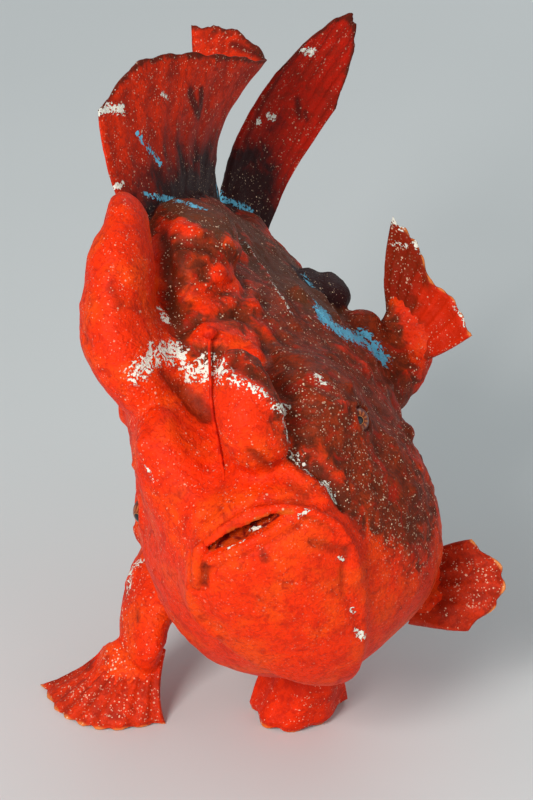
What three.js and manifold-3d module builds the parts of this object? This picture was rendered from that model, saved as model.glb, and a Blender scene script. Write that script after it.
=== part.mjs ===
// Giant frogfish, a still life-size model in the pose of its photograph.
// Millimetres, +Z up, floor at z = 0, the fish faces -Y and rolls on to its right side.
// Places on the fish are in hundredths of its standard length: x forward, y left, z up.

import * as THREE from 'three';
import { mergeVertices } from 'three/addons/utils/BufferGeometryUtils.js';
import Module from 'manifold-3d';

const wasm = await Module();
wasm.setup();

// Driving sizes
const STANDARD_LENGTH = 230;
const UNIT = STANDARD_LENGTH / 100;
const GAP = 0.3;
const ROLL = THREE.MathUtils.degToRad(27);
const PITCH = THREE.MathUtils.degToRad(6);
const FLOOR_DROP = 37.6 * UNIT;
const MIDLINE = -2;

const place = (x, y, z) => new THREE.Vector3(x, y, z).multiplyScalar(UNIT);
const clamp = THREE.MathUtils.clamp;
const smoothstep = THREE.MathUtils.smoothstep;

// The fish's own frame, turned and lifted into the model's frame
const forward = new THREE.Vector3(0, -Math.cos(PITCH), -Math.sin(PITCH));
const levelUp = new THREE.Vector3(0, -Math.sin(PITCH), Math.cos(PITCH));
const levelLeft = new THREE.Vector3(1, 0, 0);
const fishUp = levelUp.clone().multiplyScalar(Math.cos(ROLL)).addScaledVector(levelLeft, -Math.sin(ROLL));
const fishLeft = levelLeft.clone().multiplyScalar(Math.cos(ROLL)).addScaledVector(levelUp, Math.sin(ROLL));
const fishTurn = new THREE.Matrix4().makeBasis(forward, fishLeft, fishUp);
const fishFrame = fishTurn.clone().setPosition(0, 0, FLOOR_DROP);
const toFish = fishFrame.clone().invert();

// A point of the model's floor plan, in hundredths, as a place in the fish's frame
const onFloor = (x, y, height) => new THREE.Vector3(x * UNIT, y * UNIT, height * UNIT).applyMatrix4(toFish);

// Solids
function solidOf(geometry) {
  const bare = geometry.clone();
  bare.deleteAttribute('normal');
  bare.deleteAttribute('uv');
  const merged = mergeVertices(bare, 1e-4);
  const mesh = new wasm.Mesh({
    numProp: 3,
    vertProperties: new Float32Array(merged.attributes.position.array),
    triVerts: new Uint32Array(merged.index.array),
  });
  mesh.merge();
  return new wasm.Manifold(mesh);
}

function largest(solid) {
  const pieces = solid.decompose();
  pieces.sort((a, b) => b.volume() - a.volume());
  return pieces[0];
}

function geometryOf(solid) {
  const mesh = solid.getMesh();
  const geometry = new THREE.BufferGeometry();
  geometry.setAttribute('position', new THREE.BufferAttribute(new Float32Array(mesh.vertProperties), 3));
  geometry.setIndex(new THREE.BufferAttribute(new Uint32Array(mesh.triVerts), 1));
  geometry.computeVertexNormals();
  return geometry;
}

function boxBetween(low, high) {
  const size = high.clone().sub(low);
  const middle = high.clone().add(low).multiplyScalar(0.5);
  const geometry = new THREE.BoxGeometry(size.x, size.y, size.z);
  geometry.translate(middle.x, middle.y, middle.z);
  return solidOf(geometry);
}

// All that is below the floor, in the fish's frame
function underFloor() {
  const reach = 400;
  const geometry = new THREE.BoxGeometry(reach * 2, reach * 2, reach);
  geometry.translate(0, 0, -reach / 2);
  geometry.applyMatrix4(toFish);
  return solidOf(geometry);
}

// Rings of points joined into one closed skin. Rings may differ in their count of points.
function skinOfRings(rings) {
  const points = [];
  const faces = [];
  const starts = rings.map((ring) => {
    const start = points.length / 3;
    ring.forEach((point) => points.push(point.x, point.y, point.z));
    return start;
  });
  for (let k = 0; k + 1 < rings.length; k += 1) {
    const near = rings[k].length;
    const far = rings[k + 1].length;
    let i = 0;
    let j = 0;
    while (i < near || j < far) {
      const a = starts[k] + (i % near);
      const b = starts[k + 1] + (j % far);
      const stepNear = near > 1 && i < near && (j >= far || (i + 1) / near <= (j + 1) / far);
      if (stepNear) {
        faces.push(a, starts[k] + ((i + 1) % near), b);
        i += 1;
      } else if (far > 1 && j < far) {
        faces.push(a, starts[k + 1] + ((j + 1) % far), b);
        j += 1;
      } else {
        break;
      }
    }
  }
  const geometry = new THREE.BufferGeometry();
  geometry.setAttribute('position', new THREE.Float32BufferAttribute(points, 3));
  geometry.setIndex(faces);
  return geometry;
}

// Rounded forms blended into one body. Distances are in hundredths of the standard length.
function ellipsoidDistance(point, form) {
  const [cx, cy, cz] = form.at;
  const [rx, ry, rz] = form.half;
  const x = point.x - cx;
  const y = point.y - cy;
  const z = point.z - cz;
  const near = Math.hypot(x / rx, y / ry, z / rz);
  const steep = Math.hypot(x / (rx * rx), y / (ry * ry), z / (rz * rz));
  return steep > 0 ? (near * (near - 1)) / steep : -Math.min(rx, ry, rz);
}

function blend(a, b, width) {
  const h = clamp(0.5 + (0.5 * (b - a)) / width, 0, 1);
  return b + (a - b) * h - width * h * (1 - h);
}

const BODY_CENTRE = new THREE.Vector3(6, -1, 3);
const BODY_FORMS = [
  { name: 'trunk', at: [8, -3.4, 0.5], half: [28, 17.5, 26], blend: 1 },
  { name: 'hind body', at: [-15, -5.5, 4.5], half: [23, 11.4, 17.5], blend: 8 },
  { name: 'tail root', at: [-33, -5, 9], half: [15, 5.2, 8], blend: 7 },
  { name: 'face', at: [24, -2, 0], half: [20, 18, 21], blend: 6 },
  { name: 'snout', at: [36, MIDLINE, 6], half: [11.5, 12, 11], blend: 6 },
  { name: 'chin', at: [33, MIDLINE, -5], half: [11, 11.5, 11.6], blend: 5 },
  { name: 'right cheek', at: [26, -12.5, -3], half: [12, 8, 12], blend: 6 },
  { name: 'left cheek', at: [26, 8.4, -4.5], half: [12, 7.4, 11.5], blend: 6 },
  { name: 'right brow', at: [29, -8.5, 18], half: [8, 6, 7.5], blend: 5 },
  { name: 'left brow', at: [26, 8.5, 14.5], half: [9, 6.5, 7], blend: 5 },
  { name: 'nape', at: [10, -6, 22], half: [16, 10, 9], blend: 6 },
  { name: 'back', at: [-13, -6.8, 21], half: [17.5, 9.3, 10.2], blend: 5 },
  { name: 'shoulder', at: [-6, -8.5, 23], half: [16, 9, 10], blend: 5 },
];

const BODY_CREASES = [
  { name: 'flank crease', at: [-10, 19, 12], half: [12, 4, 2], depth: 1.4 },
  { name: 'brow crease', at: [33, -3.5, 24], half: [9, 1.6, 7], depth: 1.8 },
];

function bodyDistance(point) {
  let distance = ellipsoidDistance(point, BODY_FORMS[0]);
  BODY_FORMS.slice(1).forEach((form) => {
    distance = blend(distance, ellipsoidDistance(point, form), form.blend);
  });
  BODY_CREASES.forEach((crease) => {
    const near = ellipsoidDistance(point, crease);
    distance += crease.depth * Math.exp(-Math.pow(Math.max(near, 0) / 2, 2)) * smoothstep(4 - near, 0, 4);
  });
  return distance;
}

// The body's skin is found along rays from one centre, finest round the mouth
const FACE_STEP = THREE.MathUtils.degToRad(3.4);
const FLANK_STEP = THREE.MathUtils.degToRad(6);
const FACE_REACH = THREE.MathUtils.degToRad(58);
const MOST_ROUND = 54;
const RING_GROWTH = 6;

function bodyRings() {
  const rings = [{ angle: 0, count: 1 }];
  let angle = 0;
  while (angle < Math.PI - FLANK_STEP * 1.5) {
    angle += angle < FACE_REACH ? FACE_STEP : FLANK_STEP;
    const fromNose = rings.length * RING_GROWTH;
    const fromTail = Math.ceil((Math.PI - angle) / FLANK_STEP) * RING_GROWTH;
    rings.push({ angle, count: Math.min(MOST_ROUND, fromNose, fromTail) });
  }
  rings.push({ angle: Math.PI, count: 1 });
  return rings;
}

function surfaceAlong(direction, offset) {
  let inside = 0;
  let outside = 90;
  const probe = new THREE.Vector3();
  for (let k = 0; k < 26; k += 1) {
    const middle = (inside + outside) / 2;
    probe.copy(BODY_CENTRE).addScaledVector(direction, middle);
    if (bodyDistance(probe) < offset) inside = middle;
    else outside = middle;
  }
  return BODY_CENTRE.clone().addScaledVector(direction, inside).multiplyScalar(UNIT);
}

function bodySkin(offset) {
  const rings = bodyRings().map(({ angle, count }) => {
    const ring = [];
    for (let k = 0; k < count; k += 1) {
      const turn = (k / count) * Math.PI * 2;
      const around = Math.sin(angle);
      const direction = new THREE.Vector3(
        Math.cos(angle), around * Math.cos(turn), around * Math.sin(turn));
      ring.push(surfaceAlong(direction, offset / UNIT));
    }
    return ring;
  });
  return skinOfRings(rings);
}

// A round limb or lobe along a curve, oval in section and closed with domed ends
function limbSkin({ along, wide, thick, sideways, steps, sides }, grow = 0) {
  const end = along[along.length - 1];
  const past = end.clone().sub(along[along.length - 2]).setLength(grow * 2).add(end);
  const spine = new THREE.CatmullRomCurve3([...along.slice(0, -1), past]);
  const rings = [];
  const side = sideways.clone().normalize();
  for (let k = 0; k <= steps; k += 1) {
    const t = k / steps;
    const centre = spine.getPoint(t);
    if (k === 0 || k === steps) {
      rings.push([centre]);
    } else {
      const tangent = spine.getTangent(t);
      const across = side.clone().addScaledVector(tangent, -side.dot(tangent)).normalize();
      const over = tangent.clone().cross(across);
      const dome = Math.sqrt(clamp(1 - Math.pow(clamp(Math.abs(t - 0.5) * 2 - 0.7, 0, 1) / 0.3, 2), 0.02, 1));
      const halfWide = valueAlong(wide, t) * dome * UNIT + grow;
      const halfThick = valueAlong(thick, t) * dome * UNIT + grow;
      const ring = [];
      for (let j = 0; j < sides; j += 1) {
        const turn = (j / sides) * Math.PI * 2;
        ring.push(centre.clone()
          .addScaledVector(across, Math.cos(turn) * halfWide)
          .addScaledVector(over, Math.sin(turn) * halfThick));
      }
      rings.push(ring);
    }
  }
  return skinOfRings(rings);
}

// A value read from a short even list, eased between its members
function valueAlong(values, t) {
  const place = clamp(t, 0, 1) * (values.length - 1);
  const k = Math.min(Math.floor(place), values.length - 2);
  const part = place - k;
  const eased = part * part * (3 - 2 * part);
  return values[k] + (values[k + 1] - values[k]) * eased;
}

// A fin is a membrane between three guide curves: its root, its middle and its tips.
// Each ray is a ridge on both faces, and both faces are split into triangles alike.
function finSkin({ root, middle, tips, rays, steps, rayHalf, webHalf, tipHalf, scallop }) {
  const rootCurve = new THREE.CatmullRomCurve3(root);
  const middleCurve = new THREE.CatmullRomCurve3(middle);
  const tipCurve = new THREE.CatmullRomCurve3(tips);
  const columns = rays * 2 - 1;
  const middleOf = (s, t) => {
    const a = rootCurve.getPoint(t);
    const b = middleCurve.getPoint(t);
    const c = tipCurve.getPoint(t);
    return a.multiplyScalar((1 - s) * (1 - s)).addScaledVector(b, 2 * s * (1 - s)).addScaledVector(c, s * s);
  };
  const nudge = 0.004;
  const points = [[], []];
  for (let j = 0; j < columns; j += 1) {
    const t = j / (columns - 1);
    const onRay = j % 2 === 0;
    const reach = onRay ? 1 : 1 - scallop;
    points[0].push([]);
    points[1].push([]);
    for (let i = 0; i <= steps; i += 1) {
      const s = (i / steps) * reach;
      const centre = middleOf(s, t);
      const alongRay = middleOf(s + nudge, t).sub(middleOf(s - nudge, t));
      const acrossRay = middleOf(s, Math.min(t + nudge, 1)).sub(middleOf(s, Math.max(t - nudge, 0)));
      const normal = alongRay.cross(acrossRay).normalize();
      const half = onRay ? rayHalf + (tipHalf - rayHalf) * s * s : webHalf + (tipHalf - webHalf) * s * s;
      points[0][j].push(centre.clone().addScaledVector(normal, half));
      points[1][j].push(centre.clone().addScaledVector(normal, -half));
    }
  }
  return closedSheet(points, columns, steps);
}

function closedSheet(points, columns, steps) {
  const flat = [];
  const faces = [];
  const number = (face, j, i) => (face * columns + j) * (steps + 1) + i;
  points.forEach((face) => face.forEach((ray) => ray.forEach((p) => flat.push(p.x, p.y, p.z))));
  const quad = (a, b, c, d) => faces.push(a, b, c, a, c, d);
  for (let j = 0; j + 1 < columns; j += 1) {
    for (let i = 0; i < steps; i += 1) {
      const near = [number(0, j, i), number(0, j, i + 1), number(0, j + 1, i + 1), number(0, j + 1, i)];
      const far = [number(1, j, i), number(1, j, i + 1), number(1, j + 1, i + 1), number(1, j + 1, i)];
      if (j % 2 === 0) {
        faces.push(near[0], near[1], near[2], near[0], near[2], near[3]);
        faces.push(far[0], far[2], far[1], far[0], far[3], far[2]);
      } else {
        faces.push(near[0], near[1], near[3], near[1], near[2], near[3]);
        faces.push(far[0], far[3], far[1], far[1], far[3], far[2]);
      }
    }
    quad(number(0, j, steps), number(1, j, steps), number(1, j + 1, steps), number(0, j + 1, steps));
    quad(number(1, j, 0), number(0, j, 0), number(0, j + 1, 0), number(1, j + 1, 0));
  }
  for (let i = 0; i < steps; i += 1) {
    quad(number(0, 0, i + 1), number(0, 0, i), number(1, 0, i), number(1, 0, i + 1));
    const last = columns - 1;
    quad(number(0, last, i), number(0, last, i + 1), number(1, last, i + 1), number(1, last, i));
  }
  const geometry = new THREE.BufferGeometry();
  geometry.setAttribute('position', new THREE.Float32BufferAttribute(flat, 3));
  geometry.setIndex(faces);
  return geometry;
}

// Turns a skin right side out
function solidFrom(geometry) {
  const first = solidOf(geometry);
  if (first.volume() > 0) return first;
  const index = Array.from(geometry.index.array);
  for (let k = 0; k < index.length; k += 3) {
    [index[k], index[k + 1]] = [index[k + 1], index[k]];
  }
  geometry.setIndex(index);
  return solidOf(geometry);
}

// Body, cut into head, trunk and tail root by thin flat cuts
const body = solidFrom(bodySkin(0));
const bodyWithGap = solidFrom(bodySkin(GAP));
const floor = underFloor();

const HEAD_BACK = 7 * UNIT;
const TAIL_FRONT = -33 * UNIT;
const REACH = 120 * UNIT;

function slab(from, to) {
  return boxBetween(new THREE.Vector3(from, -REACH, -REACH), new THREE.Vector3(to, REACH, REACH));
}

// Lower jaw, let into the head behind an arched mouth
const MOUTH_MIDDLE = -2.4 * UNIT;
const MOUTH_HALF = 11.1 * UNIT;
const MOUTH_TOP = 14.2 * UNIT;
const MOUTH_CORNER = 3 * UNIT;
const MOUTH_SKEW = 1.4 * UNIT;
const THROAT = -17 * UNIT;
const THROAT_TAPER = 0.42;
const JAW_BACK = 22 * UNIT;
const JAW_STEP = 36 * UNIT;
const MOUTH_OPEN = 2.2;
const UPPER_LIP = { radius: 2.1, outside: 1.8, sink: 0.6 };
const LOWER_LIP = { radius: 1.9, outside: 1.8, sink: 0.3 };
const PAST_SNOUT = 70 * UNIT;

// The mouth seen from the front: an arch above its corners, the lower jaw's edge below them
function jawOutline(grow, from, to, count) {
  const points = [];
  for (let k = 0; k <= count; k += 1) {
    const turn = from + ((to - from) * k) / count;
    const height = Math.sin(turn);
    const rise = height > 0 ? MOUTH_TOP - MOUTH_CORNER : MOUTH_CORNER - THROAT;
    const narrowing = 1 + THROAT_TAPER * Math.min(height, 0);
    points.push(new THREE.Vector2(
      MOUTH_MIDDLE + MOUTH_SKEW * Math.max(height, 0) + Math.cos(turn) * (MOUTH_HALF * narrowing + grow),
      MOUTH_CORNER + height * (rise + grow)));
  }
  return points;
}

function jawBlock(grow, from, to) {
  const outline = jawOutline(grow, 0, Math.PI * 2, 36).slice(0, -1);
  const geometry = new THREE.ExtrudeGeometry(new THREE.Shape(outline), {
    depth: to - from, bevelEnabled: false, steps: 1,
  });
  geometry.applyMatrix4(new THREE.Matrix4().makeBasis(
    new THREE.Vector3(0, 1, 0), new THREE.Vector3(0, 0, 1), new THREE.Vector3(1, 0, 0)));
  geometry.translate(from, 0, 0);
  return solidFrom(geometry);
}

// The point of the face straight in front of a given height and side
function frontOfFace(y, z, sink) {
  let inside = 20;
  let outside = 60;
  for (let k = 0; k < 22; k += 1) {
    const middle = (inside + outside) / 2;
    if (bodyDistance(new THREE.Vector3(middle, y / UNIT, z / UNIT)) < 0) inside = middle;
    else outside = middle;
  }
  return new THREE.Vector3(inside * UNIT - sink, y, z);
}

function lip(grow, radius, sink) {
  const line = jawOutline(grow, -0.2, Math.PI + 0.2, 18).map((point) => frontOfFace(point.x, point.y, sink));
  const section = new THREE.Shape();
  section.absarc(0, 0, radius, 0, Math.PI * 2);
  const geometry = new THREE.ExtrudeGeometry(section, {
    steps: 22, bevelEnabled: false, curveSegments: 4, extrudePath: new THREE.CatmullRomCurve3(line),
  });
  return solidFrom(geometry);
}

const jawRoom = jawBlock(GAP, JAW_BACK, PAST_SNOUT);
const jawBack = jawBlock(0, JAW_BACK + GAP, JAW_STEP);
const jawFront = jawBlock(-MOUTH_OPEN, JAW_BACK + GAP, PAST_SNOUT);
const upperLip = lip(UPPER_LIP.outside, UPPER_LIP.radius, UPPER_LIP.sink);
const lowerLip = lip(-MOUTH_OPEN - LOWER_LIP.outside, LOWER_LIP.radius, LOWER_LIP.sink);

// Eyes sit deep behind a raised lid
const EYE_RADIUS = 4.6;
const EYES = {
  left: new THREE.Vector3(25, 12.4, 10.6),
  right: new THREE.Vector3(25, -18, 10.6),
};
const EYE_SINK = 2.4;
const LID_THICKNESS = 1.5;
const LID_WIDER = 0.5;
const LID_SINK = 0.2;

function onBody(towards) {
  const direction = towards.clone().sub(BODY_CENTRE).normalize();
  return { point: surfaceAlong(direction, 0), direction };
}

function normalAt(point) {
  const step = 0.05;
  const at = point.clone().divideScalar(UNIT);
  const slope = ['x', 'y', 'z'].map((axis) => {
    const more = at.clone();
    const less = at.clone();
    more[axis] += step;
    less[axis] -= step;
    return bodyDistance(more) - bodyDistance(less);
  });
  return new THREE.Vector3(...slope).normalize();
}

function ringOn(spot, normal, radius, thickness) {
  const geometry = new THREE.TorusGeometry(radius, thickness, 6, 14);
  geometry.applyQuaternion(new THREE.Quaternion().setFromUnitVectors(new THREE.Vector3(0, 0, 1), normal));
  geometry.translate(spot.x, spot.y, spot.z);
  return solidFrom(geometry);
}

function ballAt(centre, radius, across, down) {
  const geometry = new THREE.SphereGeometry(radius, across, down);
  geometry.translate(centre.x, centre.y, centre.z);
  return solidFrom(geometry);
}

const eyes = Object.entries(EYES).map(([side, towards]) => {
  const { point } = onBody(towards);
  const normal = normalAt(point);
  const centre = point.clone().addScaledVector(normal, -EYE_SINK);
  return {
    side,
    ball: ballAt(centre, EYE_RADIUS, 14, 8),
    socket: ballAt(centre, EYE_RADIUS + GAP, 14, 8),
    lid: ringOn(point.clone().addScaledVector(normal, -LID_SINK), normal, EYE_RADIUS + LID_WIDER, LID_THICKNESS),
  };
});

// Nostrils are small raised rings above the mouth
const NOSTRILS = [new THREE.Vector3(42, -8, 15.7), new THREE.Vector3(42, 4, 16)];
const NOSTRIL_RADIUS = 1.8;
const NOSTRIL_RIM = 0.8;

function nostrils(grow) {
  return NOSTRILS.map((towards) => {
    const { point } = onBody(towards);
    return ringOn(point, normalAt(point), NOSTRIL_RADIUS, NOSTRIL_RIM + grow);
  });
}

// Warts, seeded so that they never move
const WART_COUNT = 56;
const WART_SEED = 7;
const WART_SMALLEST = 1.6;
const WART_SPREAD = 2.2;
const WART_JITTER = 0.4;
const WART_CLEAR_OF_CUT = 5;

function seededRandom(seed) {
  let state = seed;
  return () => {
    state = (state * 1664525 + 1013904223) % 4294967296;
    return state / 4294967296;
  };
}

function bump(spot, radius) {
  const geometry = new THREE.SphereGeometry(radius, 7, 4);
  geometry.scale(1, 1, 0.75);
  geometry.applyQuaternion(new THREE.Quaternion().setFromUnitVectors(
    new THREE.Vector3(0, 0, 1), normalAt(spot)));
  geometry.translate(spot.x, spot.y, spot.z);
  return solidFrom(geometry);
}

function warts() {
  const random = seededRandom(WART_SEED);
  const made = [];
  for (let k = 0; k < WART_COUNT; k += 1) {
    const height = 1 - (2 * (k + 0.5)) / WART_COUNT;
    const turn = k * Math.PI * (3 - Math.sqrt(5)) + random() * WART_JITTER;
    const around = Math.sqrt(1 - height * height);
    const direction = new THREE.Vector3(height, around * Math.cos(turn), around * Math.sin(turn));
    const spot = surfaceAlong(direction, 0);
    const radius = WART_SMALLEST + WART_SPREAD * random();
    made.push({ spot, solid: bump(spot, radius), clearance: bump(spot, radius + 2 * GAP) });
  }
  return made;
}

const bodyWarts = warts();
const insideOf = (from, to) => bodyWarts
  .filter(({ spot }) => spot.x > from + WART_CLEAR_OF_CUT && spot.x < to - WART_CLEAR_OF_CUT)
  .map(({ solid }) => solid);

function fuse(start, more) {
  return more.reduce((whole, piece) => whole.add(piece), start);
}

// What grows from the body is cut clear of all of its surface
const fleshWithGap = fuse(bodyWithGap, [...bodyWarts.map((wart) => wart.clearance), ...nostrils(2 * GAP)]);

const headRange = slab(HEAD_BACK + GAP / 2, REACH);
let head = fuse(body.intersect(headRange), insideOf(HEAD_BACK, 36 * UNIT));
head = fuse(head, [upperLip, ...nostrils(0), ...eyes.map((eye) => eye.lid)]);
eyes.forEach((eye) => {
  head = head.subtract(eye.socket);
});
head = largest(head.subtract(jawRoom));

let jaw = body.intersect(jawBack).add(body.intersect(jawFront));
jaw = jaw.add(lowerLip.intersect(jawFront));
jaw = largest(jaw);

const trunk = largest(fuse(body.intersect(slab(TAIL_FRONT + GAP / 2, HEAD_BACK - GAP / 2)),
  insideOf(TAIL_FRONT, HEAD_BACK)));
const tailRoot = largest(body.intersect(slab(-REACH, TAIL_FRONT - GAP / 2)));

// First, second and third dorsal spines
const LURE_RADIUS = 0.55;

function lureSkin() {
  const line = [-1, -0.5, 0.5, 1.5, 2.5].map((y, k) => {
    const spot = frontOfFace((MIDLINE + y) * UNIT, (15 + k * 3.2) * UNIT, 0);
    return spot.addScaledVector(normalAt(spot), k === 0 ? -2 : 1.4 + LURE_RADIUS);
  });
  const section = new THREE.Shape();
  section.absarc(0, 0, LURE_RADIUS * 1.4, 0, Math.PI * 2);
  return { line, section };
}

const lure = lureSkin();
const lureRod = solidFrom(new THREE.ExtrudeGeometry(lure.section, {
  steps: 24, bevelEnabled: false, curveSegments: 3, extrudePath: new THREE.CatmullRomCurve3(lure.line),
}));
const lureEnd = lure.line[lure.line.length - 1];
const illicium = largest(lureRod.add(ballAt(lureEnd, 2.4, 10, 7)).subtract(fleshWithGap));

const secondSpine = solidFrom(limbSkin({
  along: [place(35, 3, 16), place(38, 4, 21), place(36, 5, 26), place(30, 5.5, 30)],
  wide: [3.4, 4.2, 4, 2.2],
  thick: [3, 4, 3.8, 2.2],
  sideways: new THREE.Vector3(0, 1, 0),
  steps: 14,
  sides: 14,
}));

const thirdSpine = solidFrom(limbSkin({
  along: [place(18, -6, 20), place(18, -10.2, 31), place(14, -7, 38.5), place(9.5, -3.9, 42.8), place(6.5, -3.4, 46)],
  wide: [5.2, 5.4, 4.3, 2.6, 1.4],
  thick: [10, 10, 8, 5, 2.6],
  sideways: new THREE.Vector3(0, 1, -0.2),
  steps: 18,
  sides: 18,
}));

// Soft dorsal, tail and anal fins
const softDorsal = solidFrom(finSkin({
  root: [place(2, -6, 25), place(-12, -5, 24), place(-26, -5, 20), place(-38, -5, 14)],
  middle: [place(-3, -8.6, 42.5), place(-14, -4, 40), place(-25, -2, 36), place(-37, -1, 29), place(-46, -3, 27)],
  tips: [place(-8, -4.2, 51.8), place(-17, 1.5, 52), place(-25, 6.3, 46.8), place(-33, 10, 40), place(-43, 12, 33),
    place(-51, 8, 36), place(-54, 2, 38)],
  rays: 12,
  steps: 7,
  rayHalf: 1.5,
  webHalf: 0.7,
  tipHalf: 0.4,
  scallop: 0.025,
}));

const caudal = solidFrom(finSkin({
  root: [place(-43, -5, 15), place(-45, -5, 9.5), place(-43, -4.5, 4)],
  middle: [place(-54, -0.5, 20.5), place(-60, 2, 15), place(-57, 0, 7)],
  tips: [place(-57, 10, 24.5), place(-61, 16, 25.5), place(-64.5, 21.7, 24.5), place(-65, 19.5, 19),
    place(-62, 13, 12.5)],
  rays: 9,
  steps: 9,
  rayHalf: 1.6,
  webHalf: 0.8,
  tipHalf: 0.4,
  scallop: 0.02,
}));

const anal = solidFrom(finSkin({
  root: [place(-9, -4, -20), place(-18, -4.5, -15), place(-28, -5, -6)],
  middle: [place(-12, -5, -32), place(-22, -5, -29), place(-34, -5, -18)],
  tips: [onFloor(7, 15, -0.4), onFloor(9, 21, -0.5), onFloor(11, 27, -0.3), onFloor(11, 33, 5)],
  rays: 8,
  steps: 7,
  rayHalf: 1.6,
  webHalf: 0.9,
  tipHalf: 0.8,
  scallop: 0.02,
}));

// Arms and hands, the pectoral fins
const RIGHT_ARM = {
  along: [place(-2, -12, -11), place(4, -20, -9), place(12, -27, -9), place(16, -31, -13), place(17, -33, -17)],
  wide: [6.4, 6.2, 5.5, 5.2, 4.2],
  thick: [5, 4.4, 3.4, 2.6, 1.8],
  sideways: new THREE.Vector3(1, 0.2, -0.2),
  steps: 16,
  sides: 14,
};
const LEFT_ARM = {
  along: [place(-7, 8, -4), place(-11, 12, -4.4), place(-14.5, 15.5, -3), place(-17, 17.5, 0.5)],
  wide: [5.4, 5, 4.4, 3.6],
  thick: [5, 4, 3, 1.8],
  sideways: new THREE.Vector3(0.5, 0, -1),
  steps: 14,
  sides: 14,
};
const rightArm = solidFrom(limbSkin(RIGHT_ARM));
const leftArm = solidFrom(limbSkin(LEFT_ARM));
const rightArmWithGap = solidFrom(limbSkin(RIGHT_ARM, GAP));
const leftArmWithGap = solidFrom(limbSkin(LEFT_ARM, GAP));

const rightHand = solidFrom(finSkin({
  root: [onFloor(-27, -10, 7.4), onFloor(-23, -13, 9.2), onFloor(-18.5, -14, 9)],
  middle: [onFloor(-29, -10, 3), onFloor(-26, -17, 4), onFloor(-20, -18, 4)],
  tips: [onFloor(-36.5, -8, -0.15), onFloor(-33, -17, -0.2), onFloor(-27, -21, -0.2),
    onFloor(-18.5, -19, -0.2)],
  rays: 9,
  steps: 7,
  rayHalf: 1.7,
  webHalf: 0.9,
  tipHalf: 1.1,
  scallop: 0.025,
}));

const leftHand = solidFrom(finSkin({
  root: [place(-18, 14.5, 0), place(-15, 15.5, -2.5), place(-11.5, 16, -5.5)],
  middle: [place(-20, 17, 8), place(-17, 20, 4), place(-14, 22, 0), place(-10, 21, -5)],
  tips: [place(-18, 22, 14), place(-16, 23.5, 10), place(-14, 23, 4.5), place(-12, 25, 1.4),
    place(-8, 25.6, -3)],
  rays: 9,
  steps: 7,
  rayHalf: 1.6,
  webHalf: 0.8,
  tipHalf: 0.5,
  scallop: 0.03,
}));

// Pelvic fins, short five-rayed feet
const rightFoot = solidFrom(finSkin({
  root: [place(17, -9, -19), place(22, -8, -20), place(27, -7, -18)],
  middle: [onFloor(-5, -13, 6), onFloor(1, -21, 6), onFloor(6, -15, 6)],
  tips: [onFloor(-6.5, -14.5, -0.2), onFloor(-4, -21, -0.2), onFloor(2, -20, -0.2), onFloor(6.5, -12, -0.2)],
  rays: 5,
  steps: 7,
  rayHalf: 3,
  webHalf: 1.9,
  tipHalf: 1.5,
  scallop: 0.05,
}));

const leftFoot = solidFrom(finSkin({
  root: [place(18, 7, -18), place(22, 7, -20), place(26, 6, -21)],
  middle: [place(20, 13, -15), place(23, 15, -21), place(27, 10, -25)],
  tips: [place(21, 18, -16), place(24, 20.5, -21), place(26, 18, -24), place(26, 12.5, -25.6)],
  rays: 5,
  steps: 7,
  rayHalf: 2.8,
  webHalf: 1.8,
  tipHalf: 1.1,
  scallop: 0.05,
}));

// What touches the floor ends there on small flats
const grounded = (solid) => solid.subtract(floor);

const thirdLobe = largest(thirdSpine.subtract(fleshWithGap));
const secondLobe = largest(secondSpine.subtract(fleshWithGap));
const lowered = (solid, more) => largest(more.reduce((left, piece) => left.subtract(piece), solid));

const parts = {
  head: { solid: head, colour: 0xd8401c },
  lower_jaw: { solid: jaw, colour: 0xe0522a },
  trunk: { solid: trunk, colour: 0x8c2a16 },
  tail_root: { solid: tailRoot, colour: 0x5c1c14 },
  illicium: { solid: illicium, colour: 0xc85030 },
  second_dorsal_spine: { solid: secondLobe, colour: 0xd23a1a },
  third_dorsal_spine: { solid: thirdLobe, colour: 0xe8441c },
  soft_dorsal_fin: { solid: lowered(softDorsal, [fleshWithGap]), colour: 0xa03018 },
  caudal_fin: { solid: lowered(caudal, [fleshWithGap]), colour: 0xb03a1c },
  anal_fin: { solid: grounded(lowered(anal, [fleshWithGap])), colour: 0x7a2416 },
  right_pectoral_arm: { solid: lowered(rightArm, [fleshWithGap]), colour: 0xc03a1c },
  right_pectoral_fin: { solid: grounded(lowered(rightHand, [rightArmWithGap])), colour: 0xc8482a },
  left_pectoral_arm: { solid: lowered(leftArm, [fleshWithGap]), colour: 0x7a2a18 },
  left_pectoral_fin: { solid: lowered(leftHand, [fleshWithGap, leftArmWithGap]), colour: 0xb04020 },
  right_pelvic_fin: { solid: grounded(lowered(rightFoot, [fleshWithGap])), colour: 0xd06038 },
  left_pelvic_fin: { solid: lowered(leftFoot, [fleshWithGap]), colour: 0xd06038 },
};
eyes.forEach((eye) => {
  parts[`${eye.side}_eye`] = { solid: eye.ball, colour: 0xb8602c };
});

// The finished fish
const fish = new THREE.Group();
fish.applyMatrix4(fishFrame);
Object.entries(parts).forEach(([name, { solid, colour }]) => {
  const material = new THREE.MeshStandardMaterial({ color: colour, roughness: 0.6, metalness: 0 });
  const mesh = new THREE.Mesh(geometryOf(solid), material);
  mesh.name = name;
  fish.add(mesh);
});

// The origin lies on the floor, under the middle of the whole
const model = new THREE.Group();
model.add(fish);
const middle = new THREE.Box3().setFromObject(model, true).getCenter(new THREE.Vector3());
fish.position.x -= middle.x;
fish.position.y -= middle.y;

export default model;
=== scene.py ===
"""Giant frogfish, a still life-size model in its photograph's pose: skin, fins, eyes, lure and crusts.

Lengths are metres in the model's frame. Places on the fish are in hundredths of its standard
length: x forward, y left, z up, in a frame that is turned and lifted as the solids are.
"""

import itertools
import logging
import math
from dataclasses import dataclass, field
from enum import Enum
from functools import partial
from typing import Iterable, Sequence, Union

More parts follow.
